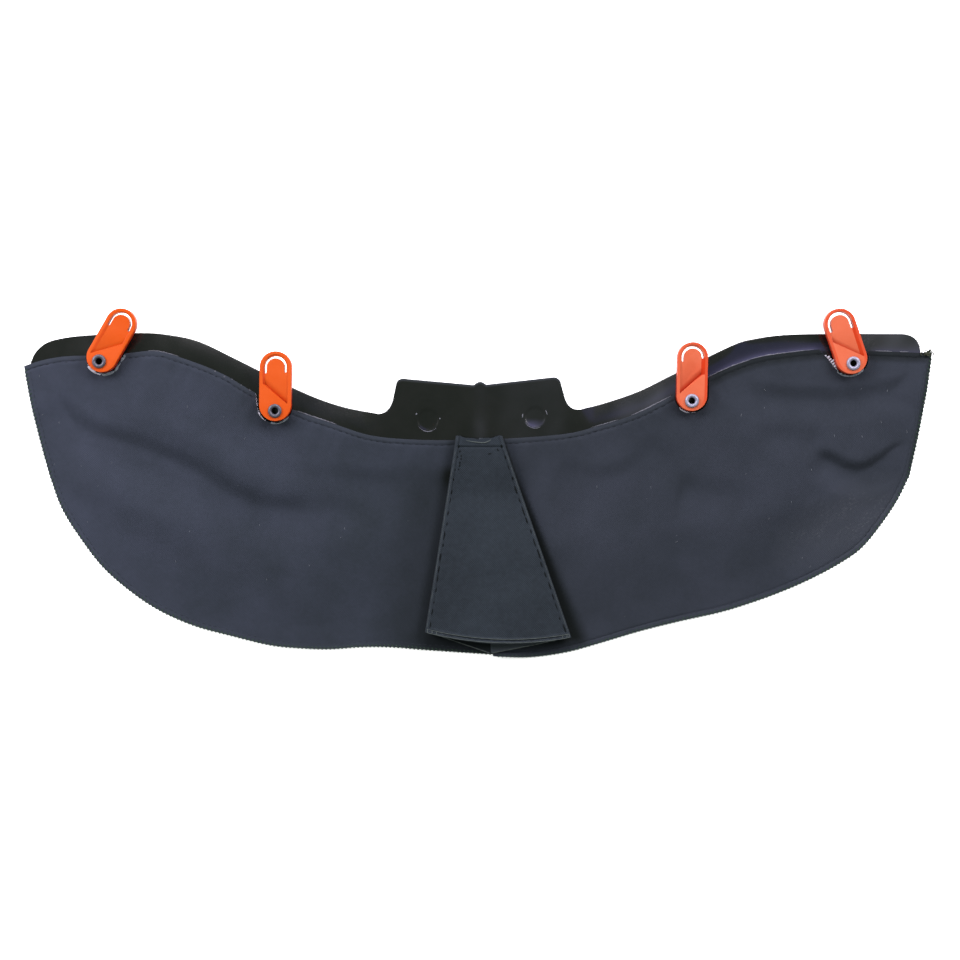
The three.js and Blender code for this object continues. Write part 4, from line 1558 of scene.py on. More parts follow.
@dataclass
class SwivelClip:
    """A moulded clip with a raised rim, a diagonal step and a U-shaped slot."""

    half_width: float = 8.8
    tip_reach: float = 32.2
    tail_reach: float = 5.6
    height: float = 4.6
    draft: float = 0.15
    rim: float = 1.75
    floor_cuts: tuple[float, ...] = (0.0, 1.0, 3.0)
    floor_depths: tuple[float, ...] = (2.6, 1.7, 0.95)
    depth_tip: float = 0.25
    tip_from_step: float = 21.0
    step_high: float = 14.5
    slot_radius: float = 5.45
    slot_width: float = 1.2
    hole_radius: float = 2.9
    wall_lean: float = 1.0
    # Painted shade on the recess's outer wall, and across the rim from its left side to its right.
    wall_shade: float = 0.6
    rim_shades: Pair = (0.0, 0.0)
    floor_narrowing: float = 0.94
    edge_rounding: float = 0.38
    arc_points: int = 80

    @property
    def tail_centre(self) -> float:
        """Where the tail's round is centred, above the rivet."""
        return self.half_width - self.tail_reach

    @property
    def tip_centre(self) -> float:
        """Where the tip's round is centred, above the rivet."""
        return self.tip_reach - self.half_width

    @property
    def inner_half(self) -> float:
        """Half the width inside the rim."""
        return self.half_width - self.draft - self.rim

    def build(self, spot: ClipSpot, material: Material) -> Piece:
        """Models a clip, sets it on its pivot and seats it on its body.

        Args:
            spot: Where the clip is riveted.
            material: Its material.

        Returns:
            The clip.
        """
        piece = self._body(spot)
        cut(piece, self._slot_cutter(spot))
        deselect()
        bpy.ops.mesh.primitive_cylinder_add(vertices=40, radius=self.hole_radius * MM, depth=0.04)
        cut(piece, new_piece("hole_cutter"))
        smooth(piece, 42.0)
        turn = Matrix.Rotation(math.radians(-spot.lean), 4, "Z")
        piece.data.transform(Matrix.Translation(spot.pivot_m) @ turn)
        dress(piece, material)
        seat(piece, spot.body, f"clip_{spot.number}")
        return piece

    def _body(self, spot: ClipSpot) -> Piece:
        """Models a clip about its rivet, before its slot and its hole are cut."""
        piece = self._blank(spot)
        self._sink_recess(piece, spot)
        bpy.ops.object.mode_set(mode="OBJECT")
        bevel(piece, self.edge_rounding, 3, 38.0)
        return piece

    def _blank(self, spot: ClipSpot) -> Piece:
        """Pulls a stadium up with a slight draft and insets its rim.

        Args:
            spot: Where the clip is riveted.

        Returns:
            The blank, left in edit mode.
        """
        deselect()
        bpy.ops.mesh.primitive_circle_add(
            vertices=self.arc_points, radius=self.half_width * MM, fill_type="NGON",
            location=(0.0, self.tail_centre * MM, 0.0), rotation=(0.0, 0.0, math.pi / self.arc_points))
        piece = new_piece(f"clip_{spot.number}_body")
        bpy.ops.object.mode_set(mode="EDIT")
        mesh = bmesh.from_edit_mesh(piece.data)
        for vertex in mesh.verts:
            vertex.select_set(vertex.co.y > self.tail_centre * MM)
        bmesh.update_edit_mesh(piece.data)
        bpy.ops.transform.translate(value=(0.0, (self.tip_centre - self.tail_centre) * MM, 0.0))
        bpy.ops.mesh.select_all(action="SELECT")
        bpy.ops.mesh.extrude_region_move(TRANSFORM_OT_translate={"value": (0.0, 0.0, self.height * MM)})
        bpy.ops.mesh.select_all(action="SELECT")
        bpy.ops.mesh.normals_make_consistent(inside=False)
        self._pick_faces(piece, lambda face: face.normal.z > 0.9)
        length = self.tip_reach + self.tail_reach
        bpy.ops.transform.resize(value=(1 - self.draft / self.half_width, 1 - 2 * self.draft / length, 1.0))
        bpy.ops.mesh.inset(thickness=self.rim * MM)
        return piece

    def _sink_recess(self, piece: Piece, spot: ClipSpot) -> None:
        """Splits the blank's face along the diagonal step and sinks what lies above it.

        Args:
            piece: The blank, in edit mode.
            spot: Where the clip is riveted.
        """
        run = 2 * self.inner_half
        rise = (self.step_high - spot.step_low) * spot.step.value
        middle = (self.step_high + spot.step_low) / 2
        middle_m = Vector((0.0, middle * MM, 0.0))
        up_step = Vector((-rise, run, 0.0)).normalized()
        for offset in self.floor_cuts:
            self._pick_faces(piece, self._is_inner)
            bpy.ops.mesh.bisect(plane_co=middle_m + up_step * offset * MM, plane_no=up_step)
        self._pick_faces(piece, lambda face: (
            self._is_inner(face) and (face.calc_center_median() - middle_m).xy.dot(up_step.xy) > 0.0))
        sink_m = -self.height * MM / 2
        bpy.ops.mesh.extrude_region_move(TRANSFORM_OT_translate={"value": (0.0, 0.0, sink_m)})
        bpy.ops.transform.resize(value=(self.floor_narrowing, 1.0, 1.0))
        outer = 1 if spot.x > 0 else -1
        self._slope_floor(piece, middle_m, up_step, outer)
        self._shade_wall(piece, outer)

    @staticmethod
    def _pick_faces(piece: Piece, wanted: Callable[[bmesh.types.BMFace], bool]) -> None:
        """Selects only some faces."""
        bpy.ops.mesh.select_all(action="DESELECT")
        bpy.ops.mesh.select_mode(type="FACE")
        mesh = bmesh.from_edit_mesh(piece.data)
        mesh.normal_update()
        for face in mesh.faces:
            face.select_set(bool(wanted(face)))
        bmesh.update_edit_mesh(piece.data)

    def _is_inner(self, face: bmesh.types.BMFace) -> bool:
        """Tells the faces inside the rim from the rim's own."""
        centre = face.calc_center_median() / MM
        on_axis = min(max(centre.y, self.tail_centre), self.tip_centre)
        away = math.hypot(centre.x, centre.y - on_axis)
        return face.normal.z > 0.9 and away < self.inner_half - 0.05

    def _slope_floor(self, piece: Piece, middle_m: Vector, up_step: Vector, outer: int) -> None:
        """Sinks the recess's floor, deepest along the step, and leans its outer wall in.

        Args:
            piece: The clip, in edit mode, with the floor selected.
            middle_m: The middle of the step.
            up_step: The direction from the step towards the tip.
            outer: The sign of x on the recess's outer side.
        """
        narrowing = 1 - self.wall_lean / self.inner_half
        mesh = bmesh.from_edit_mesh(piece.data)
        marks = (*self.floor_cuts, self.tip_from_step)
        depths = (*self.floor_depths, self.depth_tip)
        for vertex in mesh.verts:
            if vertex.select:
                from_step = (vertex.co - middle_m).xy.dot(up_step.xy) / MM
                vertex.co.z = (self.height - float(np.interp(from_step, marks, depths))) * MM
                if outer * vertex.co.x > 0:
                    vertex.co.x *= narrowing
        bmesh.update_edit_mesh(piece.data)

    def _shade_wall(self, piece: Piece, outer: int) -> None:
        """Marks painted shade on the recess's outer wall and on the rim's two sides, deeper than the faces.

        Args:
            piece: The clip, in edit mode.
            outer: The sign of x on the recess's outer side.
        """
        mesh = bmesh.from_edit_mesh(piece.data)
        layer = mesh.faces.layers.float.new(PAINTED_WALL_SHADE)
        mesh.normal_update()
        for face in mesh.faces:
            centre = face.calc_center_median() / MM
            on_side = outer * centre.x > 0.5 * self.half_width and centre.y < self.tip_centre
            if on_side and 0.15 < face.normal.z < 0.99:
                face[layer] = self.wall_shade
            elif face.normal.z >= 0.99 and not self._is_inner(face):
                to_right = float(ease(centre.x, -self.half_width, self.half_width))
                above_tail = float(ease(centre.y, -self.tail_reach, self.tail_centre))
                face[layer] = above_tail * between(self.rim_shades, to_right)
        bmesh.update_edit_mesh(piece.data)

    def _slot_cutter(self, spot: ClipSpot) -> Piece:
        """Bends a flat strip along the slot's U and gives it depth.

        Args:
            spot: The clip's spot, which has the lengths of the slot's legs.

        Returns:
            The cutter.
        """
        piece, along, across = add_grid("slot_cutter", 72, 2)
        left_leg, right_leg = spot.slot_legs
        arc = math.pi * self.slot_radius
        total = right_leg + arc + left_leg
        reach = along * total
        angle = np.clip((reach - right_leg) / self.slot_radius, 0.0, math.pi)
        below = np.maximum(0.0, right_leg - reach) + np.maximum(0.0, reach - right_leg - arc)
        end = np.minimum(reach, total - reach) / (self.slot_width / 2)
        half = self.slot_width / 2 * np.sqrt(1 - (1 - np.clip(end, 0.02, 1.0)) ** 2)
        radius = self.slot_radius + (0.5 - across) * 2 * half
        places = np.column_stack([radius * np.cos(angle), self.tip_centre + radius * np.sin(angle) - below,
                                  np.full_like(angle, 5.0)])
        piece.data.vertices.foreach_set("co", (places * MM).ravel())
        modify(piece, "SOLIDIFY", thickness=20.0 * MM, offset=0.0)
        turn_faces_out(piece)
        return piece


CLIPS = {
    1: SwivelClip(half_width=8.4, wall_lean=1.0, wall_shade=0.4, floor_depths=(1.5, 1.0, 0.6)),
    2: SwivelClip(tip_reach=32.7, wall_lean=0.9, wall_shade=0.6, floor_depths=(2.0, 1.3, 0.75)),
    3: SwivelClip(half_width=8.4, rim=1.5, wall_lean=1.7, wall_shade=1.0, rim_shades=(0.25, 0.7)),
    4: SwivelClip(half_width=8.65, tip_reach=31.3, rim=1.5, slot_radius=5.8, slot_width=1.6, wall_lean=1.3,
                  wall_shade=0.9, rim_shades=(0.5, 0.65), floor_depths=(2.2, 1.4, 0.8)),
}


@dataclass
class HollowRivet:
    """A rolled tubular rivet, turned from its profile."""

    bore: float = 1.75
    barrel: float = 2.4
    head: float = 3.8
    head_height: float = 1.15
    tail: float = 3.5
    tail_height: float = 0.7
    clip_height: float = 4.6
    head_gap: float = 0.12
    tail_gap: float = 0.4
    turns: int = 56

    def _profile(self, seat_z: float, tail_z: float) -> Array:
        """Draws the rivet's half section: rolled head, barrel and flared tail."""
        roll = np.linspace(math.pi, 0.0, 15)
        middle, half = (self.bore + self.head) / 2, (self.head - self.bore) / 2
        head = np.column_stack([middle + half * np.cos(roll), seat_z + self.head_height * np.sin(roll)])
        foot = tail_z - self.tail_height
        rest = [(self.barrel, seat_z), (self.barrel, tail_z), (self.tail, tail_z), (self.tail, foot + 0.2),
                (self.tail - 0.3, foot), (self.bore, foot)]
        return np.vstack([head, rest])

    def build(self, spot: ClipSpot, strip: CollarStrip, material: Material) -> None:
        """Spins the profile into a rivet and seats it.

        Args:
            spot: Where the rivet stands.
            strip: The strip that it goes through.
            material: Its material.
        """
        seat_z = spot.pivot_m.z / MM + self.clip_height + self.head_gap
        tail_z = float(strip.top(np.array(spot.x), np.array(spot.y))) - strip.thickness - self.tail_gap
        profile = self._profile(seat_z, tail_z)
        deselect()
        bpy.ops.mesh.primitive_circle_add(vertices=len(profile), radius=1.0)
        piece = new_piece(f"rivet_{spot.number}_tube")
        places = np.column_stack([profile[:, 0], np.zeros(len(profile)), profile[:, 1]])
        piece.data.vertices.foreach_set("co", (places * MM).ravel())
        bpy.ops.object.mode_set(mode="EDIT")
        bpy.ops.mesh.select_all(action="SELECT")
        bpy.ops.mesh.spin(steps=self.turns, angle=math.tau, center=(0, 0, 0), axis=(0, 0, 1))
        bpy.ops.mesh.select_all(action="SELECT")
        bpy.ops.mesh.remove_doubles(threshold=0.01 * MM)
        turn_faces_out(piece)
        piece.data.transform(Matrix.Translation((spot.pivot_m.x, spot.pivot_m.y, 0.0)))
        smooth(piece, 45.0)
        dress(piece, material)
        seat(piece, CURTAIN, f"rivet_{spot.number}")


@dataclass(frozen=True)
class Stitch:
    """A row's mean stitch, the mean gap after it, and how far lengths and places wander."""

    length: float
    gap: float
    uneven: float = 0.15


@dataclass
class Needlework:
    """Every stitch: seams, topstitches and the overlocked outer edges."""

    seam: Stitch = Stitch(2.6, 0.9)
    hem: Stitch = Stitch(2.4, 0.8)
    flap_side: Stitch = Stitch(4.4, 1.5, 0.32)
    flap_hem: Stitch = Stitch(2.6, 0.8)
    flap_hem_rise: float = 1.4
    knot: Stitch = Stitch(1.6, 0.1, 0.3)
    stitch_radius: float = 0.15
    stitch_points: int = 6
    overlock_pitch: float = 2.2
    overlock_reach: float = 1.4
    overlock_radius: float = 0.22
    overlock_loop: Line = (
        (1.0, 0.06), (0.7, 0.16), (0.35, 0.18), (0.05, 0.10), (-0.28, -0.35), (-0.1, -0.9))
    chain_loops: int = 22
    chain_radius: float = 0.30
    corner_knots: tuple[Line, ...] = (
        ((10.2, 19.6), (11.4, 17.0)), ((5.4, 16.2), (7.2, 16.6)), ((-9.9, 18.4), (-9.3, 13.6)),
        ((-9.2, 14.4), (-9.9, 10.0)), ((-9.8, 10.8), (-10.9, 6.4)))

    def _row(self, line: Array, carrier: Piece, stitch: Stitch, seed: int) -> Array:
        """Lays a row of stitches along a line.

        Args:
            line: The line to sew along.
            carrier: The cloth that the stitches lie on.
            stitch: The kind of stitch.
            seed: Picks one scatter of lengths and places.

        Returns:
            Points along every stitch, which dips into the cloth at its ends.
        """
        step = 0.25
        uneven = stitch.uneven
        random = np.random.default_rng(seed)
        fine = evenly(line, step)
        reach = np.linspace(0.0, step * (len(fine) - 1), len(fine))
        count = int(reach[-1] // (stitch.length + stitch.gap))
        wander = random.normal(0.0, uneven * stitch.gap, count)
        starts = (np.arange(count) + 0.5) * reach[-1] / count + wander
        spans = stitch.length * random.uniform(1 - 2.5 * uneven, 1 + uneven, count)
        t = np.linspace(-0.5, 0.5, self.stitch_points)
        marks = starts[:, None] + spans[:, None] * t
        x, y = (np.interp(marks, reach, fine[:, k]) for k in range(2))
        sway = random.normal(0.0, uneven, (count, 1)) * np.ones_like(x)
        slope = np.gradient(fine, axis=0)
        tilt = np.interp(marks, reach, np.arctan2(slope[:, 1], slope[:, 0]))
        x, y = x - sway * np.sin(tilt), y + sway * np.cos(tilt)
        z = heights_on(carrier, np.column_stack([x.ravel(), y.ravel()])).reshape(x.shape)
        z = z + self.stitch_radius * (1.15 * np.cos(math.pi * t) ** 0.5 - 0.75)
        return np.stack([x, y, z], axis=2)

    def _stitch_radii(self) -> Array:
        """A stitch that thins where it enters the cloth."""
        t = np.linspace(-1.0, 1.0, self.stitch_points)
        return self.stitch_radius * (1 - 0.45 * t**4)

    @staticmethod
    def inset(line: Array, depth: float) -> Array:
        """Moves a line to its right by a depth."""
        run = directions(line)
        return line + depth * np.column_stack([run[:, 1], -run[:, 0]])

    def build(self, pleat: BoxPleat, dark: Material, seam: Material,
              faint: Material, edge: Material, tuft: Material) -> None:
        """Sews every row and edge.

        Args:
            pleat: The finished pleat.
            dark: The flap's thread.
            seam: The thread of the sewn edges.
            faint: The hems' thread.
            edge: The overlock's thread.
            tuft: The thread of the overlock's loose end.
        """
        rows, hem_rows, flap_rows = [], [], []
        for number, panel in enumerate((LEFT_PANEL, RIGHT_PANEL)):
            top = self._outside_notches(evenly(self.inset(panel.top_line(), panel.seam_depth), 1.0), panel)
            rows += [self._row(part, panel.piece, self.seam, 50 + number) for part in top]
            hem = evenly(self.inset(panel.outer_line(), panel.side.value * panel.hem_width), 1.0)
            hem_rows.append(self._row(hem[3:], panel.piece, self.hem, 60 + number))
            self._overlock(panel, edge)
        self._chain_end(RIGHT_PANEL, tuft)
        v = np.linspace(0.985, 0.02, 120)
        for number, share in enumerate((0.0, 1.0)):
            x, y = pleat.flap(np.full_like(v, share), v)
            inner = pleat.rim + 0.15
            line = np.column_stack([x + (inner if share == 0.0 else -inner), y])
            flap_rows.append(self._row(line, pleat.piece, self.flap_side, 70 + number))
        for number, knot in enumerate(self.corner_knots):
            flap_rows.append(self._row(np.array(knot), pleat.piece, self.knot, 90 + number))
        across = np.linspace(0.03, 0.97, 80)
        x, y = pleat.flap(across, np.full_like(across, 0.0))
        rows.append(self._row(np.column_stack([x, y + self.flap_hem_rise]), pleat.piece, self.flap_hem, 80))
        kinds = (("seam_stitches", rows, 1.0, seam), ("hem_stitches", hem_rows, 1.0, faint),
                 ("flap_stitches", flap_rows, 2.5, dark))
        for name, sewn, stout, material in kinds:
            strands = np.vstack(sewn)
            uneven = np.random.default_rng(len(strands)).uniform(0.7, 1.1, (len(strands), 1))
            lay_trim(thread_piece(name, strands, stout * uneven * self._stitch_radii(), 6), material)

    @staticmethod
    def _outside_notches(line: Array, panel: ClothPanel) -> list[Array]:
        """Breaks a line where it crosses the notches round the clips."""
        clear = np.ones(len(line), bool)
        for spot in panel.spots:
            clear &= np.hypot(line[:, 0] - spot.x, line[:, 1] - spot.y - 2.0) > 13.5
        cuts = np.flatnonzero(np.diff(clear.astype(int))) + 1
        parts = zip(np.split(line, cuts), np.split(clear, cuts))
        return [part for part, keep in parts if keep[0] and len(part) > 6]

    def _overlock(self, panel: ClothPanel, material: Material) -> None:
        """Wraps the outer edge in slanted loops.

        Args:
            panel: The panel to edge.
            material: The thread.
        """
        line = evenly(panel.outer_line(), self.overlock_pitch / 2)
        run = directions(line)
        inward = np.column_stack([run[:, 1], -run[:, 0]]) * panel.side.value
        random = np.random.default_rng(90 + panel.seed)
        marks = np.arange(2, len(line) - 3, 2)
        line, run, inward = line[marks], run[marks], inward[marks]
        top = heights_on(panel.piece, line + 0.8 * inward)
        steps = np.array(self.overlock_loop)
        depth = self.overlock_reach * random.uniform(0.75, 1.1, len(marks))
        slant = np.linspace(0.0, 0.75, len(steps)) * self.overlock_pitch
        reach = depth[:, None] * steps[:, 0]
        flat = line[:, None] + inward[:, None] * reach[..., None] + run[:, None] * slant[:, None]
        loops = np.concatenate([flat, (top[:, None] + steps[:, 1])[..., None]], axis=2)
        loops[..., 2] = np.maximum(loops[..., 2], self.overlock_radius)
        name = f"{panel.side.name.lower()}_overlock"
        lay_trim(thread_piece(name, loops, np.full(len(steps), self.overlock_radius), 5), material)

    def _chain_end(self, panel: ClothPanel, material: Material) -> None:
        """Curls the overlock's loose end into a small tuft at the panel's top corner.

        Args:
            panel: The panel that it hangs from.
            material: The thread.
        """
        random = np.random.default_rng(7)
        corner = panel.outer_line()[0]
        count = self.chain_loops
        t = np.linspace(0.0, 1.0, 8)
        middles = corner + (-1.6, 0.1) + random.normal(0.0, 1.0, (count, 2)) * (1.5, 1.0)
        bend = random.uniform(0.4, 1.0, (count, 1))
        turns = random.uniform(0.0, math.tau, (count, 1)) + t * random.uniform(2.0, 5.0, (count, 1))
        base = heights_on(panel.piece, np.array([corner + (-4.0, -4.0)]))[0]
        x = middles[:, :1] + bend * np.cos(turns)
        y = middles[:, 1:] + bend * np.sin(turns)
        z = base + random.uniform(-0.3, 0.6, (count, 1)) + 0.3 * np.sin(math.pi * t)
        loops = np.stack([x, y, z], axis=2)
        lay_trim(thread_piece("corner_chain_end", loops, np.full(len(t), self.chain_radius), 5), material)


@dataclass
class FlapEdgeGlints:
    """Pale threads laid as painted highlights on the flap's hem, its corners, the returns' edges and the
    sewn top.
    """

    hem_rises: Pair = (0.35, 2.25)
    hem_radius: float = 0.20
    corner_shares: tuple[float, ...] = (0.012, 0.045, 0.075, 0.945, 0.975, 0.99)
    corner_radius: float = 0.18
    return_radius: float = 0.28
    edge_radius: float = 0.13
    top_thread: Line = ((-6.6, 23.3), (-2.0, 22.4), (2.75, 22.0), (5.2, 22.5), (7.2, 23.7))
    top_radius: float = 0.26
    points: int = 48

    def build(self, pleat: BoxPleat, strip: CollarStrip, material: Material) -> None:
        """Lays every thread.

        Args:
            pleat: The finished pleat.
            strip: The strip that the pleat is sewn to.
            material: The threads' material.
        """
        random = np.random.default_rng(8)
        t = np.linspace(0.0, 1.0, self.points)
        strands, radii = [], []
        for rise in self.hem_rises:
            x, y = pleat.flap(0.01 + 0.98 * t, np.zeros_like(t))
            strands.append(self._laid(pleat, x, y + rise, 0.08))
            radii.append(self.hem_radius * random.uniform(0.6, 1.1, self.points))
        for share in self.corner_shares:
            x, y = pleat.flap(np.full_like(t, share), np.zeros_like(t))
            strands.append(self._laid(pleat, x, y + between(self.hem_rises, t), 0.08))
            radii.append(np.full(self.points, self.corner_radius))
        for reach in ((0.003, 0.17), (0.997, 0.83)):
            edge = pleat.surface(between(reach, t), np.zeros_like(t), strip)
            strands.append(edge + (0.0, 0.0, CLOTH_THICKNESS / 2))
            radii.append(self.return_radius * random.uniform(0.6, 1.1, self.points))
        for share, inwards in ((0.0, 0.25), (1.0, -0.25)):
            x, y = pleat.flap(np.full_like(t, share), 0.03 + 0.9 * t)
            strands.append(self._laid(pleat, x + inwards, y, 0.02))
            radii.append(self.edge_radius * random.uniform(0.2, 1.0, self.points))
        x, y = spline(self.top_thread, t).T
        strands.append(self._laid(pleat, x, y, 0.12))
        radii.append(self.top_radius * np.sin(math.pi * t) ** 0.5 + 0.04)
        lay_trim(thread_piece("flap_edge_glints", np.array(strands), np.array(radii), 6), material)

    @staticmethod
    def _laid(pleat: BoxPleat, x: Array, y: Array, lift: float) -> Array:
        """Lays a thread on the flap."""
        return np.column_stack([x, y, heights_on(pleat.piece, np.column_stack([x, y])) + lift])


class Trim(Enum):
    """How a stretch of a notch's raw edge looks."""

    GREY_BAND = "grey_band"
    PALE_BAND = "pale_band"
    PALE_STUBS = "pale_stubs"
    LOOSE_FIBRES = "loose_fibres"


@dataclass(frozen=True)
class TrimRun:
    """A stretch of one notch's edge, from a share of its way round to another, left leg first."""

    clip: int
    start: float
    end: float
    trim: Trim
    width: float


@dataclass
class CutEdges:
    """The raw edges of the cloth's notches: rolled bands, cut stubs and loose fibres."""

    runs: tuple[TrimRun, ...] = (
        TrimRun(1, 0.16, 0.46, Trim.PALE_BAND, 1.3), TrimRun(1, 0.44, 1.0, Trim.GREY_BAND, 2.0),
        TrimRun(2, 0.02, 0.30, Trim.LOOSE_FIBRES, 0.0), TrimRun(2, 0.28, 0.50, Trim.PALE_BAND, 0.7),
        TrimRun(2, 0.56, 0.90, Trim.GREY_BAND, 1.2), TrimRun(3, 0.18, 0.43, Trim.PALE_BAND, 0.7),
        TrimRun(4, 0.12, 0.38, Trim.PALE_STUBS, 3.4), TrimRun(4, 0.36, 0.76, Trim.GREY_BAND, 1.2),
        TrimRun(4, 0.84, 0.90, Trim.PALE_BAND, 1.0))
    fibres_per_mm: float = 2.2
    fibre_reach: float = 1.2
    stub_pitch: float = 1.5
    stub_taper: tuple[float, ...] = (1.0, 1.0, 1.0, 0.95, 0.7)
    clip_gap: float = 0.25
    edge_step: float = 0.3
    points: int = 5

    def build(self, pale: Material, grey: Material) -> None:
        """Trims every notch.

        Args:
            pale: The material of stubs, fibres and pale bands.
            grey: The material of grey bands.
        """
        panels = {spot.number: (panel, spot) for panel in (LEFT_PANEL, RIGHT_PANEL) for spot in panel.spots}
        made: dict[bool, list[Piece]] = {True: [], False: []}
        for number, run in enumerate(self.runs):
            panel, spot = panels[run.clip]
            edge = self._edge(panel, spot)
            line = edge[int(run.start * (len(edge) - 1)): int(run.end * (len(edge) - 1)) + 1]
            ceiling = spot.pivot_m.z / MM - self.clip_gap
            is_pale = run.trim is not Trim.GREY_BAND
            if run.trim is Trim.PALE_STUBS:
                made[is_pale].append(self._stubs(panel, line, run, number, ceiling))
            elif run.trim is not Trim.LOOSE_FIBRES:
                made[is_pale].append(self._band(panel, line, run, number, ceiling))
            if is_pale:
                made[is_pale].append(self._fray(panel, line, number, ceiling))
        for name, is_pale, material in (("notch_fray", True, pale), ("notch_roll", False, grey)):
            join(made[is_pale])
            piece = new_piece(name)
            smooth(piece, 60.0)
            lay_trim(piece, material)

    def _edge(self, panel: ClothPanel, spot: ClipSpot) -> Array:
        """The notch's line where it runs through the cloth."""
        line = evenly(panel.notch_line(spot, spot.notch_lean), self.edge_step)
        return line[line[:, 1] < level(panel.top_line(), line[:, 0]) + 0.2]

    @staticmethod
    def _inward(line: Array) -> Array:
        """Directions from the notch's edge towards its clip."""
        run = directions(line)
        return np.column_stack([-run[:, 1], run[:, 0]])

    def _band(self, panel: ClothPanel, line: Array, run: TrimRun, seed: int, ceiling: float) -> Piece:
        """Rolls a stretch of the edge over into a lumpy band beside the clip.

        Args:
            panel: The panel with the notch.
            line: The stretch's line.
            run: The stretch.
            seed: Picks one scatter.
            ceiling: The height that it has to stay below.

        Returns:
            The band.
        """
        random = np.random.default_rng(30 + seed)
        inward = self._inward(line)
        lumps = np.convolve(random.normal(0.0, 1.0, len(line)), np.ones(5) / 5, mode="same")
        from_end = np.minimum(np.arange(len(line)), np.arange(len(line))[::-1]).astype(float)
        radii = run.width / 2 * (0.3 + 0.7 * ease(from_end, 0.0, 5.0)) * (1 + 0.4 * lumps)
        height = heights_on(panel.piece, line - 1.0 * inward) - 0.25 * run.width + 0.1 * lumps
        height = np.minimum(height, ceiling - radii)
        path = np.column_stack([line + inward * (0.22 * lumps - 0.25 * run.width)[:, None], height])
        return thread_piece("notch_band", path[None], radii, 9)

    def _stubs(self, panel: ClothPanel, line: Array, run: TrimRun, seed: int, ceiling: float) -> Piece:
        """Lays the edge's cut yarns side by side as stubs that point at the clip.

        Args:
            panel: The panel with the notch.
            line: The stretch's line.
            run: The stretch.
            seed: Picks one scatter.
            ceiling: The height that it has to stay below.

        Returns:
            The stubs.
        """
        random = np.random.default_rng(60 + seed)
        marks = np.arange(1, len(line) - 1, max(1, round(self.stub_pitch / self.edge_step)))
        inward = self._inward(line)[marks]
        t = np.linspace(0.0, 1.0, self.points)
        longest = run.width * np.sin(np.linspace(0.25, 2.9, len(marks)))
        reach = random.uniform(0.55, 1.0, len(marks)) * longest
        flat = line[marks][:, None] + inward[:, None] * (t * reach[:, None])[..., None]
        base = heights_on(panel.piece, line[marks] - 0.8 * inward) - 0.45
        rise = base[:, None] - 0.35 * t**2 + random.normal(0.0, 0.06, (len(marks), 1))
        radii = random.uniform(0.6, 1.0, (len(marks), 1)) * np.array(self.stub_taper)
        rise = np.minimum(rise, ceiling - radii)
        return thread_piece("notch_stubs", np.concatenate([flat, rise[..., None]], axis=2), radii, 6)

    def _fray(self, panel: ClothPanel, line: Array, seed: int, ceiling: float) -> Piece:
        """Scatters short fibres along a stretch of the edge, leaning over it.

        Args:
            panel: The panel with the notch.
            line: The stretch's line.
            seed: Picks one scatter.
            ceiling: The height that it has to stay below.

        Returns:
            The fibres.
        """
        random = np.random.default_rng(100 + seed)
        count = int(self.edge_step * len(line) * self.fibres_per_mm)
        inward = self._inward(line)
        run = np.column_stack([inward[:, 1], -inward[:, 0]])
        pick = random.integers(0, len(line), count)
        lean = random.normal(0.0, 0.75, count)
        aim = inward[pick] * np.cos(lean)[:, None] + run[pick] * np.sin(lean)[:, None]
        length = random.uniform(0.5, 1.0, count) * self.fibre_reach
        t = np.linspace(0.0, 1.0, self.points)
        flat = line[pick][:, None] + aim[:, None] * ((t - 0.25) * length[:, None])[..., None]
        base = heights_on(panel.piece, line[pick] - 0.8 * inward[pick])
        rise = base[:, None] + 0.12 + random.normal(0.0, 0.1, (count, 1)) - 0.3 * t**2
        radii = random.uniform(0.05, 0.11, (count, 1)) * np.linspace(1.0, 0.35, self.points)
        rise = np.minimum(rise, ceiling - radii)
        return thread_piece("notch_fibres", np.concatenate([flat, rise[..., None]], axis=2), radii, 4)


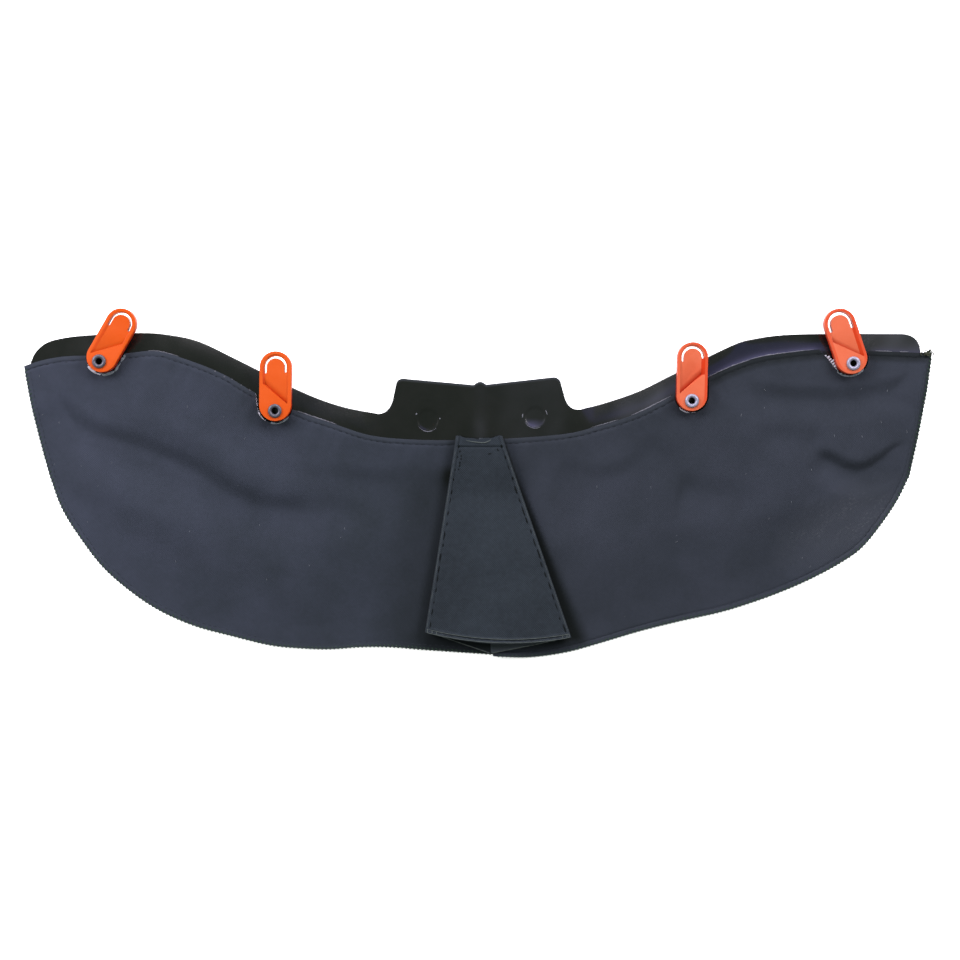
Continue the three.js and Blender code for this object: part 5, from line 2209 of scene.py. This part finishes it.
@dataclass
class SeamGlints:
    """Pale threads laid as painted highlights: along the rim between cloth and strip, round the needle's
    eyes and on the dimples' rims.
    """

    stretches: tuple[tuple[float, float, float], ...] = (
        (-181.0, -164.0, 0.24), (-100.5, -77.5, 0.34), (62.0, 77.0, 0.2), (84.0, 106.0, 0.4),
        (124.0, 150.0, 0.3), (146.0, 184.0, 0.34), (218.0, 227.5, 0.28), (231.5, 236.5, 0.3))
    eyes: tuple[float, ...] = (-144.0, -138.9, -134.6, -129.5, -124.9)
    dimple_rims: tuple[tuple[int, float, float, float, float], ...] = (
        (0, 148.0, 158.0, 7.1, 0.38), (0, 1.0, 10.0, 6.6, 0.34), (0, 214.0, 318.0, 6.3, 0.10),
        (0, 246.0, 292.0, 6.5, 0.13), (1, 166.0, 184.0, 6.9, 0.28), (1, 10.0, 34.0, 6.8, 0.24),
        (1, 206.0, 300.0, 6.2, 0.14))
    points: int = 26

    def build(self, strip: CollarStrip, material: Material) -> None:
        """Lays the painted highlights: the rim's pale stretches, the eyes and the dimples' pale rims.

        Args:
            strip: The strip that they lie on.
            material: Their material.
        """
        random = np.random.default_rng(5)
        top = np.vstack([LEFT_PANEL.top_line(), RIGHT_PANEL.top_line()])
        t = np.linspace(0.0, 1.0, self.points)
        lines, radii = [], []
        swell = np.sin(math.pi * t) ** 0.5
        for start, end, radius in self.stretches:
            x = between((start, end), t)
            y = level(top, x) + 0.30 + random.normal(0.0, 0.05, self.points)
            lines.append(np.column_stack([x, y, strip.top(x, y) + 1.0]))
            radii.append(radius * swell * random.uniform(0.45, 1.0, self.points) + 0.03)
        turn = math.tau * t
        for x in self.eyes:
            y = level(top, x) + random.uniform(-1.2, 0.2)
            ring = np.column_stack([
                x + 0.34 * np.cos(turn), y + 0.30 * np.sin(turn), np.zeros(self.points)])
            ring[:, 2] = heights_on(LEFT_PANEL.piece, ring[:, :2]) + 0.08
            lines.append(ring)
            radii.append(np.full(self.points, 0.10))
        for number, start, end, reach, radius in self.dimple_rims:
            dimple_x, dimple_y = strip.dimples[number][:2]
            turns = np.radians(between((start, end), t))
            x, y = dimple_x + reach * np.cos(turns), dimple_y + reach * np.sin(turns)
            lines.append(np.column_stack([x, y, strip.top(x, y)]))
            radii.append(radius * swell + 0.02)
        lay_trim(thread_piece("seam_glints", np.array(lines), np.array(radii), 6), material)


@dataclass
class Lint:
    """Pale specks and short fibres that cling to the cloth."""

    count: int = 44
    points: int = 4

    def build(self, material: Material) -> None:
        """Scatters the lint over both panels.

        Args:
            material: The lint's material.
        """
        random = np.random.default_rng(17)
        strands = []
        for panel in (LEFT_PANEL, RIGHT_PANEL):
            u, v = random.uniform(0.04, 0.9, self.count // 2), random.uniform(0.05, 0.9, self.count // 2)
            u = u if panel.side is Side.LEFT else 1 - u
            spots = np.column_stack(panel.flat(u, v))
            turn = random.normal(math.pi / 2, 0.5, len(spots))
            length = random.uniform(0.35, 1.5, len(spots))
            bow = random.normal(0.0, 0.15, len(spots))
            t = np.linspace(-0.5, 0.5, self.points)
            x = spots[:, :1] + length[:, None] * (np.cos(turn)[:, None] * t + bow[:, None] * t**2)
            y = spots[:, 1:] + length[:, None] * np.sin(turn)[:, None] * t
            z = heights_on(panel.piece, np.column_stack([x.ravel(), y.ravel()])).reshape(x.shape) + 0.06
            strands.append(np.stack([x, y, z], axis=2))
        every = np.vstack(strands)
        radii = random.uniform(0.05, 0.13, (len(every), 1)) * np.ones(self.points)
        lay_trim(thread_piece("cloth_lint", every, radii, 4), material)


@dataclass(frozen=True)
class SoftLight:
    """A square soft light that looks at the curtain."""

    name: str
    place_m: tuple[float, float, float]
    size_m: float
    watts: float
    colour: Colour

    def hang(self) -> None:
        """Hangs the light."""
        deselect()
        bpy.ops.object.light_add(type="AREA", location=self.place_m)
        light = bpy.context.object
        light.name = self.name
        light.rotation_euler = (-Vector(self.place_m)).to_track_quat("-Z", "Y").to_euler()
        light.data.size = self.size_m
        light.data.energy = self.watts
        light.data.color = self.colour


@dataclass
class Studio:
    """A pale floor, soft lights and a camera straight above."""

    camera_height_m: float = 1.0
    frame_width_m: float = 0.528
    face_height_m: float = 0.001
    sensor: float = 36.0
    centre: Pair = (1.1, 1.65)
    floor_size_m: float = 6.0
    floor_z_m: float = -0.00005
    sky_colour: Colour = (0.86, 1.0, 0.86)
    sky_strength: float = 0.30
    lights: tuple[SoftLight, ...] = (
        SoftLight("left_softbox", (-0.90, 0.50, 0.62), 0.50, 18.5, (0.97, 0.93, 1.0)),
        SoftLight("right_softbox", (0.80, 0.60, 0.72), 0.50, 16.0, (1.0, 0.96, 1.0)),
        SoftLight("far_softbox", (0.0, 0.95, 0.70), 0.50, 12.0, (0.98, 0.95, 1.0)),
        SoftLight("near_fill", (0.0, -0.90, 0.50), 0.40, 2.0, (0.95, 1.0, 0.95)),
        SoftLight("violet_card", (0.20, 0.47, 0.95), 0.34, 0.30, (0.28, 0.24, 1.0)))

    def build(self, effects: Effects) -> None:
        """Lays the floor and sets the lights, the sky and the camera.

        Args:
            effects: The shared effects.
        """
        deselect()
        bpy.ops.mesh.primitive_plane_add(size=self.floor_size_m, location=(0.0, 0.0, self.floor_z_m))
        floor = bpy.context.object
        floor.name = "pale_floor"
        floor.data.materials.append(FloorFinish().make(effects))
        for light in self.lights:
            light.hang()
        self._sky()
        self._camera()
        bpy.context.scene.view_settings.view_transform = "Standard"

    def _sky(self) -> None:
        """Fills the room with an even pale light."""
        world = bpy.data.worlds.new("studio_room")
        world.use_nodes = True
        ground = world.node_tree.nodes["Background"]
        ground.inputs["Color"].default_value = (*self.sky_colour, 1.0)
        ground.inputs["Strength"].default_value = self.sky_strength
        bpy.context.scene.world = world

    def _camera(self) -> None:
        """Looks straight down at the curtain's face, at the photograph's scale."""
        place = in_frame(np.array([*self.centre, 0.0]))
        data = bpy.data.cameras.new("overhead_camera")
        data.sensor_width = self.sensor
        data.lens = self.sensor * (self.camera_height_m - self.face_height_m) / self.frame_width_m
        camera = bpy.data.objects.new("overhead_camera", data)
        camera.location = (place[0], place[1], self.camera_height_m)
        bpy.context.scene.collection.objects.link(camera)
        bpy.context.scene.camera = camera


def main() -> None:
    """Builds every piece in order."""
    logging.basicConfig(level=logging.INFO, format="%(message)s")
    effects = Effects()
    # The left cloth's colours are a lighter copy of the right's, as painted light; both panels also carry a
    # painted light ramp.
    left_twill = TwillFinish(
        "slate_twill_left", (0.0115, 0.0150, 0.0188), (0.0335, 0.0380, 0.0575), turn=0.1,
        light_ramp_from=-30.0, light_ramp_to=-240.0, taper=(-0.10, 0.22))
    right_twill = TwillFinish(
        "slate_twill_right", (0.0108, 0.0136, 0.0174), (0.0285, 0.0322, 0.0460), turn=-0.1,
        light_ramp_from=60.0, light_ramp_to=240.0, taper=(0.0, 0.12), scuff_at=(201.5, -23.0), scuff_reach=32.0)
    flap_twill = TwillFinish(
        "slate_twill_flap", (0.0040, 0.0055, 0.0070), (0.0305, 0.0391, 0.0505), turn=0.04,
        threads_per_m=870.0, bump=0.8, weave_share=0.75, patch_share=0.2)
    Studio().build(effects)
    strip = CollarStrip()
    strip.build(StripFinish().make(effects))
    LEFT_PANEL.build(strip, left_twill.make(effects))
    RIGHT_PANEL.build(strip, right_twill.make(effects))
    PLEAT.build(strip, [LEFT_PANEL.piece, RIGHT_PANEL.piece], flap_twill.make(effects))
    oranges = (ClipFinish().make(effects), PALER_CLIP.make(effects))
    metals = (RivetFinish().make(effects), BRIGHT_RIVET.make(effects))
    for spot in CLIP_SPOTS:
        half = int(spot.x > 0)
        CLIPS[spot.number].build(spot, oranges[half])
        HollowRivet().build(spot, strip, metals[half])
    dark = ThreadFinish("dark_thread", (0.002, 0.003, 0.003), (0.007, 0.0085, 0.009), 0.04).make(effects)
    edge = ThreadFinish("green_black_thread", (0.006, 0.016, 0.008), (0.030, 0.066, 0.036)).make(effects)
    faint = ThreadFinish("slate_thread", (0.010, 0.0125, 0.016), (0.024, 0.028, 0.037), 0.1).make(effects)
    seam = ThreadFinish("seam_thread", (0.004, 0.005, 0.006), (0.011, 0.013, 0.016), 0.1).make(effects)
    tuft = ThreadFinish("olive_thread", (0.010, 0.012, 0.006), (0.036, 0.040, 0.026)).make(effects)
    Needlework().build(PLEAT, dark, seam, faint, edge, tuft)
    # Pale thread for the painted highlights on the flap's edges.
    glint_thread = ThreadFinish("painted_edge_glint", (0.029, 0.036, 0.036), (0.072, 0.085, 0.083))
    FlapEdgeGlints().build(PLEAT, strip, glint_thread.make(effects))
    pale = ThreadFinish("pale_fray", (0.20, 0.20, 0.24), (0.56, 0.54, 0.62)).make(effects)
    grey = ThreadFinish("grey_rolled_edge", (0.085, 0.098, 0.115), (0.18, 0.20, 0.23)).make(effects)
    CutEdges().build(pale, grey)
    # Pale thread for the painted highlights.
    glint = ThreadFinish("painted_glint", (0.045, 0.046, 0.056), (0.15, 0.15, 0.18))
    SeamGlints().build(strip, glint.make(effects))
    Lint().build(ThreadFinish("pale_lint", (0.06, 0.065, 0.08), (0.16, 0.17, 0.19)).make(effects))


if __name__ == "__main__":
    main()
